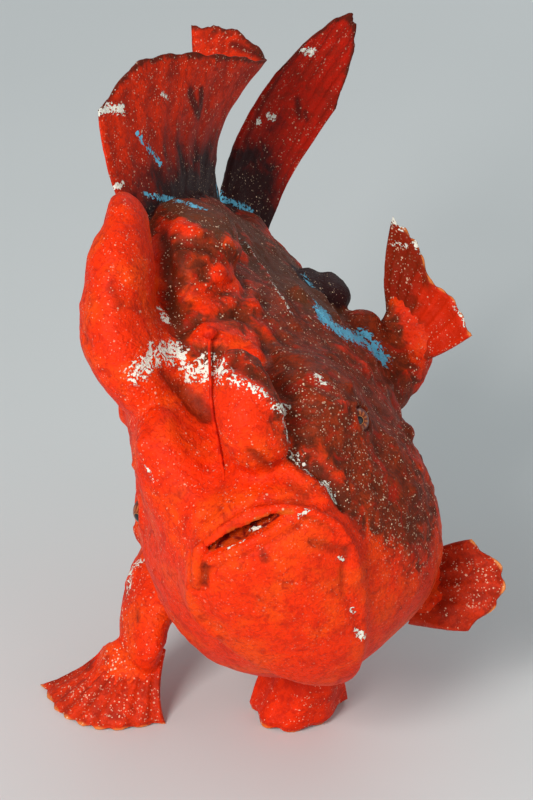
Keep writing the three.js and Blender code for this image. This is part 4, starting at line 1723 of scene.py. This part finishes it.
@dataclass(frozen=True)
class FinPlan:
    """A fin between three guide curves.

    Half thicknesses, the collar and the ripple are in millimetres. The scallop between rays, the
    fringe and the collar's reach are shares of the fin's length.
    """

    name: str
    node: str
    root: np.ndarray
    middle: np.ndarray
    tips: np.ndarray
    rays: int
    ray_half: float
    web_half: float
    tip_half: float
    scallop: float
    fringe: float
    finish: FinFinish
    grounded: bool = False
    collar_half: float = 3.2
    collar_reach: float = 0.5
    ripple: float = 0.6
    columns_per_ray: int = 14
    rows: int = 90


class Fin:
    """One fin with ribbed rays, a ragged edge and a root that swells into the body."""

    FLARE = 0.7 * MILLIMETRE
    FLARE_REACH = 2.5 * MILLIMETRE
    COLLAR_COLUMNS = 40
    COLLAR_ROWS = 18
    COLLAR_ENDS = (0.01, 0.99)
    COLLAR_FLOOR = 0.4 * MILLIMETRE
    FLOOR = 0.05 * MILLIMETRE
    SMALLEST_HALF = 0.25 * MILLIMETRE
    DRIFT = Bumps(6.0, 2, 41, MILLIMETRE)
    GRAIN = Bumps(1.3, 3, 43, 0.22 * MILLIMETRE)
    COLLAR_THIN = 0.6
    COLLAR_CURVE = 1.6
    COLLAR_SIDE = (-0.01, 0.28)
    FRINGE_TEETH = 90
    FORK = 0.35
    FORK_FROM = (0.5, 0.85)
    RAYS_FROM = (0.12, 0.45)
    THINNING = 0.8
    RIM = (0.93, 1.0)
    RIM_THINNING = 0.75
    SIDE_REACH = 0.02
    SIDE_LEAST = 0.3
    FLARE_SIDE = 0.6
    SCALLOP_CURVE = 1.5
    DRIFT_FROM = (0, 0.3)
    BACK_GRAIN = 0.6

    def __init__(self, plan: FinPlan) -> None:
        """Keeps the fin's plan."""
        self.plan = plan

    def ridge(self, across: np.ndarray, along: np.ndarray) -> np.ndarray:
        """Finds the rays, which fork near their tips.

        Args:
            across: places from the first ray to the last.
            along: for each of those, its place from root to tip.

        Returns:
            How much of a ray each place has, from 0 to 1.
        """
        phase = across * (self.plan.rays - 1) * math.pi
        whole = np.abs(np.cos(phase)) ** 3
        forked = np.abs(np.cos(phase + self.FORK)) ** 6 + np.abs(np.cos(phase - self.FORK)) ** 6
        share = smooth_step(along, *self.FORK_FROM)
        both = whole * (1 - share) + np.clip(forked, 0, 1) * share
        return both * smooth_step(along, *self.RAYS_FROM)

    def surface(self, across: np.ndarray, s: np.ndarray) -> tuple[np.ndarray, np.ndarray]:
        """Lays the fin's middle surface between its guide curves.

        Args:
            across: places from the first ray to the last.
            s: for each of those, places from root to tip.

        Returns:
            The points and the directions square to the surface, row by row.
        """
        root, middle, tips = (curve_through(curve, across)[:, None]
                              for curve in (self.plan.root, self.plan.middle, self.plan.tips))
        s3 = s[:, :, None]
        centre = root * (1 - s3) ** 2 + middle * 2 * s3 * (1 - s3) + tips * s3 ** 2
        normal = np.cross(np.gradient(centre, axis=1), np.gradient(centre, axis=0))
        normal /= np.linalg.norm(normal, axis=2, keepdims=True) + 1e-12
        return centre.reshape(-1, 3), normal.reshape(-1, 3)

    def collar(self) -> Shape:
        """Builds the flesh that swells round the fin's root and thins out over its rays.

        Returns:
            A closed shape for the skin to take up.
        """
        plan = self.plan
        across = np.linspace(*self.COLLAR_ENDS, self.COLLAR_COLUMNS)
        steps = np.linspace(0, plan.collar_reach, self.COLLAR_ROWS)
        flat, out = self.surface(across, np.tile(steps, (self.COLLAR_COLUMNS, 1)))
        left = 1 - np.tile(steps, self.COLLAR_COLUMNS) / plan.collar_reach
        side = smooth_step(np.minimum(across, 1 - across), *self.COLLAR_SIDE)
        swollen = plan.collar_half * left ** self.COLLAR_CURVE * np.repeat(side, self.COLLAR_ROWS)
        half = (plan.web_half * self.COLLAR_THIN + swollen) * MILLIMETRE
        points = np.vstack([flat + out * half[:, None], flat - out * half[:, None]])
        if plan.grounded:
            points[:, 2] = np.maximum(points[:, 2], self.COLLAR_FLOOR)
        return Shape(points, self.faces(self.COLLAR_COLUMNS, self.COLLAR_ROWS)).outward()

    def shape(self, body: BVHTree) -> Shape:
        """Builds the fin.

        Args:
            body: the skin that it grows from.

        Returns:
            The closed fin with its values.
        """
        plan = self.plan
        columns = (plan.rays - 1) * plan.columns_per_ray + 1
        across = np.linspace(0, 1, columns)
        steps = np.linspace(0, 1, plan.rows)
        on_ray = np.abs(np.cos(across * (plan.rays - 1) * math.pi))
        ragged = 0.5 + 0.5 * lattice_noise(np.outer(across * self.FRINGE_TEETH, [1, 0, 0]), 1.0, 5)
        reach = 1 - plan.scallop * (1 - on_ray ** self.SCALLOP_CURVE) - plan.fringe * ragged
        s = steps[None, :] * reach[:, None]
        flat, out = self.surface(across, s)
        t = np.repeat(across, plan.rows)
        along = s.reshape(-1)
        ridge = self.ridge(t, along)
        half = self.halves(t, along, np.tile(steps, columns), distances_outside(body, flat))
        fish = FISH.to_fish(flat)
        free = smooth_step(along, *self.DRIFT_FROM)
        drift = self.DRIFT.over(fish) * self.DRIFT.height * plan.ripple * free
        rough = self.GRAIN.over(fish) * self.GRAIN.height
        front = flat + out * (drift + half + rough)[:, None]
        back = flat + out * (drift - half + rough * self.BACK_GRAIN)[:, None]
        points = np.vstack([front, back])
        if plan.grounded:
            points[:, 2] = np.maximum(points[:, 2], self.FLOOR)
        values = {"along": along, "across": t, "ray": ridge}
        both = {key: np.tile(value, 2) for key, value in values.items()}
        return Shape(points, self.faces(columns, plan.rows), both).outward()

    def halves(self, t: np.ndarray, along: np.ndarray, row: np.ndarray, gap: np.ndarray) -> np.ndarray:
        """Finds half the fin's thickness: ribbed, thin at its edges and wider at the body.

        Args:
            t: each point's place from the first ray to the last.
            along: its place from root to tip.
            row: its row, from 0 at the root to 1 at the ragged edge.
            gap: how far it lies outside the body.

        Returns:
            One half thickness for each point, in metres.
        """
        plan = self.plan
        half = plan.web_half + (plan.ray_half - plan.web_half) * self.ridge(t, along)
        half = (half + (plan.tip_half - half) * along ** 2 * self.THINNING) * MILLIMETRE
        rim = 1 - smooth_step(row, *self.RIM) * self.RIM_THINNING
        edge = smooth_step(np.minimum(t, 1 - t), 0, self.SIDE_REACH)
        side = edge * (1 - self.SIDE_LEAST) + self.SIDE_LEAST
        flare = self.FLARE * np.exp(-np.maximum(gap, 0) / self.FLARE_REACH)
        flare = flare * (1 - self.FLARE_SIDE + self.FLARE_SIDE * side)
        return np.maximum(half * rim * side, self.SMALLEST_HALF) + flare

    @staticmethod
    def faces(columns: int, rows: int) -> list[Sequence[int]]:
        """Joins both faces of the fin and its four edges.

        Args:
            columns: how many rows of points run from root to tip.
            rows: how many points each has.

        Returns:
            The quads of a closed sheet.
        """
        back = columns * rows
        made: list[Sequence[int]] = []
        for j in range(columns - 1):
            for i in range(rows - 1):
                a, b, c, d = j * rows + i, j * rows + i + 1, (j + 1) * rows + i + 1, (j + 1) * rows + i
                made.append((a, b, c, d))
                made.append((back + d, back + c, back + b, back + a))
            for i, turned in ((0, True), (rows - 1, False)):
                a, b = j * rows + i, (j + 1) * rows + i
                quad = (a, back + a, back + b, b)
                made.append(tuple(reversed(quad)) if turned else quad)
        for i in range(rows - 1):
            for j, turned in ((0, False), (columns - 1, True)):
                a, b = j * rows + i, j * rows + i + 1
                quad = (a, back + a, back + b, b)
                made.append(tuple(reversed(quad)) if turned else quad)
        return made


MAROON: Colour = (0.03, 0.007, 0.007)
DEEP_RED: Colour = (0.28, 0.012, 0.003)
FIN_RED: Colour = (0.68, 0.026, 0.002)
BRIGHT_RED: Colour = (0.76, 0.026, 0.001)
PALE_RIM: Colour = (0.75, 0.22, 0.05)
DARK_RIM: Colour = (0.05, 0.012, 0.005)


def fin_plans() -> list[FinPlan]:
    """Lists every fin with its guide curves.

    Returns:
        The plans in the order of building.
    """
    fish, floor = FISH.on_fish, FISH.on_floor
    dorsal = FinFinish("soft_dorsal_skin", MAROON, FIN_RED, DEEP_RED, DARK_RIM, 0.5)
    tail = FinFinish("tail_fin_skin", MAROON, (0.52, 0.01, 0.001), DEEP_RED, DARK_RIM, 0.42, speckled=0.45)
    anal = FinFinish("anal_fin_skin", MAROON, DEEP_RED, MAROON, PALE_RIM, 0.35, speckled=0.6)
    hand = FinFinish("right_hand_skin", BRIGHT_RED, (0.66, 0.03, 0.003), (0.3, 0.014, 0.004), PALE_RIM, 0.3,
                     speckled=0.75, root_patch=SkinFinish.red)
    raised = FinFinish("left_hand_skin", (0.14, 0.02, 0.006), (0.22, 0.02, 0.005), DEEP_RED, PALE_RIM, 0.2,
                       far=(0.62, 0.022, 0.003), side_from=0.4)
    foot = FinFinish("right_foot_skin", BRIGHT_RED, BRIGHT_RED, SkinFinish.red, (0.8, 0.16, 0.02), 0.2,
                     root_patch=SkinFinish.red)
    far_foot = FinFinish("left_foot_skin", (0.5, 0.026, 0.003), (0.5, 0.024, 0.003), (0.24, 0.012, 0.003),
                         (0.85, 0.3, 0.08), 0.2, root_patch=SkinFinish.red)
    return [
        FinPlan("soft_dorsal", "soft_dorsal_fin",
                fish([(2, -6, 25), (-12, -5, 24), (-26, -5, 20), (-38, -5, 14)]),
                fish([(-3, -8.6, 42.5), (-14, -4, 40), (-25, -2, 36), (-37, -1, 29), (-46, -3, 27)]),
                fish([(-8, -4.2, 51.8), (-17, 1.5, 52), (-25, 6.3, 46.8), (-33, 10, 40), (-43, 12, 33),
                      (-51, 8, 36), (-54, 2, 38)]),
                12, 1.15, 0.75, 0.45, 0.012, 0.012, dorsal, collar_half=3.0, collar_reach=0.4),
        FinPlan("tail_fin", "caudal_fin",
                fish([(-43, -5, 15), (-45, -5, 9.5), (-43, -4.5, 4)]),
                fish([(-54, -0.5, 20.5), (-60, 2, 15), (-57, 0, 7)]),
                fish([(-57, 10, 24.5), (-61, 16, 25.5), (-64.5, 21.7, 24.5), (-65, 19.5, 19),
                      (-62, 13, 12.5)]),
                9, 1.25, 0.8, 0.45, 0.01, 0.01, tail, collar_half=3.4, collar_reach=0.4),
        FinPlan("anal_fin_piece", "anal_fin",
                fish([(-9, -4, -20), (-18, -4.5, -15), (-28, -5, -6)]),
                fish([(-12, -5, -32), (-22, -5, -29), (-34, -5, -18)]),
                floor([(7, 15, -0.4), (9, 21, -0.5), (11, 27, -0.3), (11, 33, 5)]),
                8, 1.5, 0.9, 0.8, 0.015, 0.01, anal, grounded=True),
        FinPlan("right_hand", "right_pectoral_fin",
                floor([(-27, -10, 7.4), (-23, -13, 9.2), (-18.5, -14, 9)]),
                floor([(-29, -10, 3), (-26, -17, 4), (-20, -18, 4)]),
                floor([(-36.5, -8, 0), (-33, -17, 0), (-27, -21, 0), (-18.5, -19, 0)]),
                9, 1.8, 0.95, 1.0, 0.035, 0.015, hand, grounded=True, collar_half=4.2,
                collar_reach=0.75),
        FinPlan("left_hand", "left_pectoral_fin",
                fish([(-18, 14.5, 0), (-15, 15.5, -2.5), (-11.5, 16, -5.5)]),
                fish([(-20, 17, 8), (-17, 20, 4), (-14, 22, 0), (-10, 21, -5)]),
                fish([(-18, 22, 14), (-16, 23.5, 10), (-14, 23, 4.5), (-12, 25, 1.4), (-8, 25.6, -3)]),
                9, 1.5, 0.85, 0.5, 0.04, 0.02, raised, collar_half=3.8, collar_reach=0.6),
        FinPlan("right_foot", "right_pelvic_fin",
                fish([(17, -9, -19), (22, -8, -20), (27, -7, -18)]),
                floor([(-5, -13, 6), (1, -21, 6), (6, -15, 6)]),
                floor([(-6.5, -14.5, 0), (-4, -21, 0), (2, -20, 0), (6.5, -12, 0)]),
                5, 2.9, 2.0, 1.3, 0.05, 0.015, foot, grounded=True, collar_half=4.0, collar_reach=0.6,
                columns_per_ray=26),
        FinPlan("left_foot", "left_pelvic_fin",
                fish([(18, 7, -18), (22, 7, -20), (26, 6, -21)]),
                fish([(20, 13, -15), (23, 15, -21), (27, 10, -25)]),
                fish([(21, 18, -16), (24, 20.5, -21), (26, 18, -24), (26, 12.5, -25.6)]),
                5, 2.7, 1.9, 1.0, 0.06, 0.015, far_foot, collar_half=3.6, collar_reach=0.55,
                columns_per_ray=26),
    ]


# Eyes and lure

@dataclass(frozen=True)
class Eye:
    """A ball with a bulging cornea, set where its solid is."""

    node: str
    towards: tuple[float, float, float]
    ball: Ball = Ball(rings=40, turns=84)
    bulge: float = 0.03
    cornea: tuple[float, float] = (0.95, 0.25)
    spokes: int = 13

    def shape(self) -> Shape:
        """Builds the ball, its first pole towards the outside.

        Returns:
            The ball with its values.
        """
        low, high = (np.array(corner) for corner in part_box(self.node))
        radius = float((high - low).min() / 2)
        axis = np.array(self.towards) @ FISH.axes()
        axis /= np.linalg.norm(axis)
        across = np.cross(axis, [0, 0, 1])
        across /= np.linalg.norm(across)
        over = np.cross(axis, across)
        polar, turn = self.ball.angles()
        grow = 1 + self.bulge * smooth_step(polar, *self.cornea)
        out = self.ball.directions(np.array([across, over, axis]))
        points = (low + high) / 2 + out * (radius * grow)[:, None]
        values = {"polar": polar, "spoke": 0.5 + 0.5 * np.cos(turn * self.spokes)}
        return Shape(points, self.ball.faces(), values).outward()


@dataclass(frozen=True)
class Lure:
    """The first dorsal spine, a thin rod laid back over the brow with a small fleshy bait."""

    node: str = "illicium"
    levels: int = 2
    thinner: float = 0.2 * MILLIMETRE
    bait: tuple[float, float] = (2.4, 1.4)
    fringe: Bumps = Bumps(0.5, 2, 61, 0.5 * MILLIMETRE)

    def piece(self, finish: bpy.types.Material) -> bpy.types.Object:
        """Rounds the solid's form off and roughens its bait.

        Args:
            finish: the lure's material.

        Returns:
            The finished piece.
        """
        draft = merged_solid(self.node).object("lure")
        rounding = draft.modifiers.new("round", "SUBSURF")
        rounding.levels = self.levels
        rounding.render_levels = self.levels
        made = plain_copy(draft)
        shape = Shape.of(made)
        bpy.data.objects.remove(made)
        fish = FISH.to_fish(shape.points)
        shape.points = shape.points - shape.normals() * self.thinner
        bait = smooth_step(fish[:, 2].max() - fish[:, 2], *self.bait)
        rise = self.fringe.over(fish) * self.fringe.height * bait
        shape.points = shape.points + shape.normals() * rise[:, None]
        piece = shape.object("lure")
        piece.data.materials.append(finish)
        return piece


# Grains scattered by geometry nodes

@dataclass(frozen=True)
class Scatter:
    """Small rounded grains strewn where a surface's named value is high."""

    name: str
    value: str
    seed: int
    finish: GrainFinish
    density: float = 2.4e6
    smallest: float = 0.08 * MILLIMETRE
    largest: float = 0.3 * MILLIMETRE
    narrow: float = 0.8
    squash: float = 0.7
    low: float = 0.3
    enough: float = 0.5
    clump: float = 1.8 * MILLIMETRE
    detail: int = 1

    def group(self) -> bpy.types.NodeTree:
        """Builds the tree that strews the grains.

        Returns:
            A geometry tree with the inputs Density, Smallest, Largest and Low.
        """
        tree = bpy.data.node_groups.new(self.name, "GeometryNodeTree")
        interface = tree.interface
        interface.new_socket("Geometry", in_out="INPUT", socket_type="NodeSocketGeometry")
        for label in ("Density", "Smallest", "Largest", "Low"):
            interface.new_socket(label, in_out="INPUT", socket_type="NodeSocketFloat")
        interface.new_socket("Geometry", in_out="OUTPUT", socket_type="NodeSocketGeometry")
        add = partial(added, tree)
        given = add("NodeGroupInput").outputs
        named = add("GeometryNodeInputNamedAttribute", {"data_type": "FLOAT"}, {"Name": self.value})
        share = add("ShaderNodeMapRange", {}, {
            "Value": named.outputs["Attribute"], "From Min": given["Low"], "From Max": 1.0})
        clumps = add("ShaderNodeTexNoise", {}, {"Scale": 1 / self.clump, "Detail": 3.0})
        clumped = add("ShaderNodeMapRange", {}, {
            "Value": clumps.outputs["Fac"], "From Min": 0.48, "From Max": 0.62})
        patchy = add("ShaderNodeMath", {"operation": "MULTIPLY"}, {
            0: share.outputs["Result"], 1: clumped.outputs["Result"]})
        amount = add("ShaderNodeMath", {"operation": "MULTIPLY"}, {
            0: patchy.outputs[0], 1: given["Density"]})
        points = add("GeometryNodeDistributePointsOnFaces", {}, {
            "Mesh": given["Geometry"], "Density": amount.outputs[0], "Seed": self.seed})
        size = add("FunctionNodeRandomValue", {"data_type": "FLOAT"}, {
            2: given["Smallest"], 3: given["Largest"], "Seed": self.seed + 1})
        grain = add("GeometryNodeMeshIcoSphere", {}, {"Radius": 1.0, "Subdivisions": self.detail})
        flat = add("GeometryNodeTransform", {}, {
            "Geometry": grain.outputs["Mesh"], "Scale": (1.0, self.narrow, self.squash)})
        strewn = add("GeometryNodeInstanceOnPoints", {}, {
            "Points": points.outputs["Points"], "Instance": flat.outputs["Geometry"],
            "Rotation": points.outputs["Rotation"], "Scale": size.outputs[1]})
        real = add("GeometryNodeRealizeInstances", {}, {"Geometry": strewn.outputs["Instances"]})
        dressed = add("GeometryNodeSetMaterial", {}, {
            "Geometry": real.outputs["Geometry"], "Material": self.finish.material()})
        add("NodeGroupOutput", {}, {"Geometry": dressed.outputs["Geometry"]})
        return tree

    def marked(self, bearer: bpy.types.Object) -> bool:
        """Tells whether a piece is marked strongly enough to bear grains.

        Args:
            bearer: the piece.

        Returns:
            Whether the named value reaches far enough anywhere on it.
        """
        layer = bearer.data.attributes[self.value]
        values = np.zeros(len(layer.data), np.float32)
        layer.data.foreach_get("value", values)
        return bool(values.max() >= self.enough)

    def piece(self, bearer: bpy.types.Object, group: bpy.types.NodeTree) -> bpy.types.Object:
        """Strews the grains over a copy of a piece.

        Args:
            bearer: the piece that bears them.
            group: the tree that strews them.

        Returns:
            The grains as one plain mesh.
        """
        draft = bpy.data.objects.new(f"{self.name}_on_{bearer.name}", bearer.data.copy())
        bpy.context.scene.collection.objects.link(draft)
        modifier = draft.modifiers.new("strew", "NODES")
        modifier.node_group = group
        sizes = {"Density": self.density, "Smallest": self.smallest, "Largest": self.largest,
                 "Low": self.low}
        for item in group.interface.items_tree:
            if item.in_out == "INPUT" and item.name in sizes:
                modifier[item.identifier] = sizes[item.name]
        made = plain_copy(draft)
        made.data.shade_smooth()
        return made


# The studio

@dataclass(frozen=True)
class Lamp:
    """A soft square light that faces a point."""

    name: str
    at: tuple[float, float, float]
    size: float
    watts: float
    colour: Colour = (1.0, 1.0, 1.0)
    aim: tuple[float, float, float] = (0.0, -0.01, 0.09)

    def lit(self) -> bpy.types.Object:
        """Makes the light.

        Returns:
            The light, linked to the scene.
        """
        data = bpy.data.lights.new(self.name, "AREA")
        data.size = self.size
        data.energy = self.watts
        data.color = self.colour
        made = bpy.data.objects.new(self.name, data)
        bpy.context.scene.collection.objects.link(made)
        made.location = self.at
        made.rotation_mode = "QUATERNION"
        made.rotation_quaternion = (Vector(self.aim) - Vector(self.at)).to_track_quat("-Z", "Y")
        return made


@dataclass(frozen=True)
class Studio:
    """A pale floor, soft lights and an even pale surround."""

    floor_half: float = 6.0
    surround: Colour = (0.86, 0.93, 0.95)
    surround_strength: float = 0.42
    lamps: tuple[Lamp, ...] = (
        Lamp("key", (-0.5, -1.1, 0.75), 0.4, 16.5, (1.0, 0.97, 0.94)),
        Lamp("fill", (0.8, -0.9, 0.4), 0.8, 2.0),
        Lamp("back", (0.35, 1.0, 0.9), 0.7, 3.0, (0.92, 0.97, 1.0)),
    )

    def built(self) -> None:
        """Builds the studio."""
        corners = np.array([[-1, -1, 0], [1, -1, 0], [1, 1, 0], [-1, 1, 0]]) * self.floor_half
        floor = Shape(corners, [(0, 1, 2, 3)]).object("floor")
        floor.data.materials.append(FloorFinish().material())
        world = bpy.data.worlds.new("surround")
        world.use_nodes = True
        shade = world.node_tree.nodes["Background"]
        shade.inputs["Color"].default_value = (*self.surround, 1)
        shade.inputs["Strength"].default_value = self.surround_strength
        bpy.context.scene.world = world
        for lamp in self.lamps:
            lamp.lit()
        bpy.context.scene.view_settings.view_transform = "Standard"


# The whole fish

class Frogfish:
    """The dressed fish."""

    FIN_MARKS = (Mark.CRUST, Mark.SHADED_BLUE_CRUST, Mark.SHADE, Mark.FLECK)

    def __init__(self) -> None:
        """Plans the fish, still without pieces."""
        self.skin = Skin()
        self.plans = fin_plans()
        self.pieces: list[bpy.types.Object] = []

    def take(self, piece: bpy.types.Object, slot: str, *nodes: str) -> None:
        """Sets a piece under the body, hides the solids that it stands for and keeps it.

        Args:
            piece: the finished piece.
            slot: not used.
            nodes: the solids that it replaces.
        """
        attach(piece, BODY)
        if nodes:
            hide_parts(*nodes)
        self.pieces.append(piece)
        LOG.info("%s: %d faces", piece.name, len(piece.data.polygons))

    def build(self) -> None:
        """Builds skin, fins, eyes, lure and grains in order."""
        opened, closed = self.skin.base([Fin(plan).collar() for plan in self.plans])
        body_tree = opened.tree()
        fins = [Fin(plan).shape(body_tree) for plan in self.plans]
        marks = Marks(STROKES, joined_tree([opened, *fins]))
        dark = [shape for plan, shape in zip(self.plans, fins) if plan.finish.root == MAROON]
        self.add_skin(self.skin.finished(opened, closed, marks, joined_tree(dark)))
        self.add_fins(fins, marks)
        bearers = list(self.pieces)
        self.add_eyes()
        self.add_lure()
        self.add_grains(bearers)

    def add_skin(self, shape: Shape) -> None:
        """Adds the skin, in place of all solids of flesh.

        Args:
            shape: the finished skin.
        """
        piece = shape.object("skin")
        piece.data.materials.append(SkinFinish().material())
        self.take(piece, "face_skin", *self.skin.nodes)

    def add_fins(self, shapes: Sequence[Shape], marks: Marks) -> None:
        """Adds the fins.

        Args:
            shapes: one for each plan.
            marks: the strokes of the photograph.
        """
        for plan, shape in zip(self.plans, shapes):
            for mark in self.FIN_MARKS:
                shape.values[mark.value] = marks.strength(mark, shape.points)
            piece = shape.object(plan.name)
            piece.data.materials.append(plan.finish.material())
            self.take(piece, "fin_skin", plan.node)

    def add_eyes(self) -> None:
        """Adds both eyes."""
        finish = EyeFinish().material()
        for eye in (Eye("left_eye", (19, 13.4, 7.6)), Eye("right_eye", (19, -17, 7.6))):
            piece = eye.shape().object(f"{eye.node}_ball")
            piece.data.materials.append(finish)
            self.take(piece, "eye", eye.node)

    def add_lure(self) -> None:
        """Adds the lure, in the skin's own colours."""
        finish = GrainFinish("lure_skin", SkinFinish.bright, SkinFinish.red, 0.5)
        lure = Lure()
        self.take(lure.piece(finish.material()), "face_skin", lure.node)

    def add_grains(self, bearers: Sequence[bpy.types.Object]) -> None:
        """Adds the crusts' grains.

        Args:
            bearers: the skin and the fins.
        """
        white = GrainFinish("white_grain", SkinFinish.white, (0.62, 0.6, 0.5))
        # Grains of white crust, painted blue as in shade under bluish light.
        blue = GrainFinish("shaded_blue_crust_grain", SkinFinish.turquoise, (0.2, 0.52, 0.62))
        sorts = [Scatter("white_grains", "crust", 3, white),
                 Scatter("shaded_blue_crust_grains", "turquoise", 5, blue)]
        for sort in sorts:
            group = sort.group()
            for bearer in filter(sort.marked, bearers):
                piece = sort.piece(bearer, group)
                if len(piece.data.polygons) == 0:
                    bpy.data.objects.remove(piece)
                else:
                    self.take(piece, "flank_skin")


def write_sizes() -> None:
    """Updates the view layer."""
    bpy.context.view_layer.update()


def main() -> None:
    """Builds the camera, the studio and the fish."""
    logging.basicConfig(level=logging.INFO, format="%(message)s")
    VIEW.camera()
    Studio().built()
    Frogfish().build()
    write_sizes()


if __name__ == "__main__":
    main()
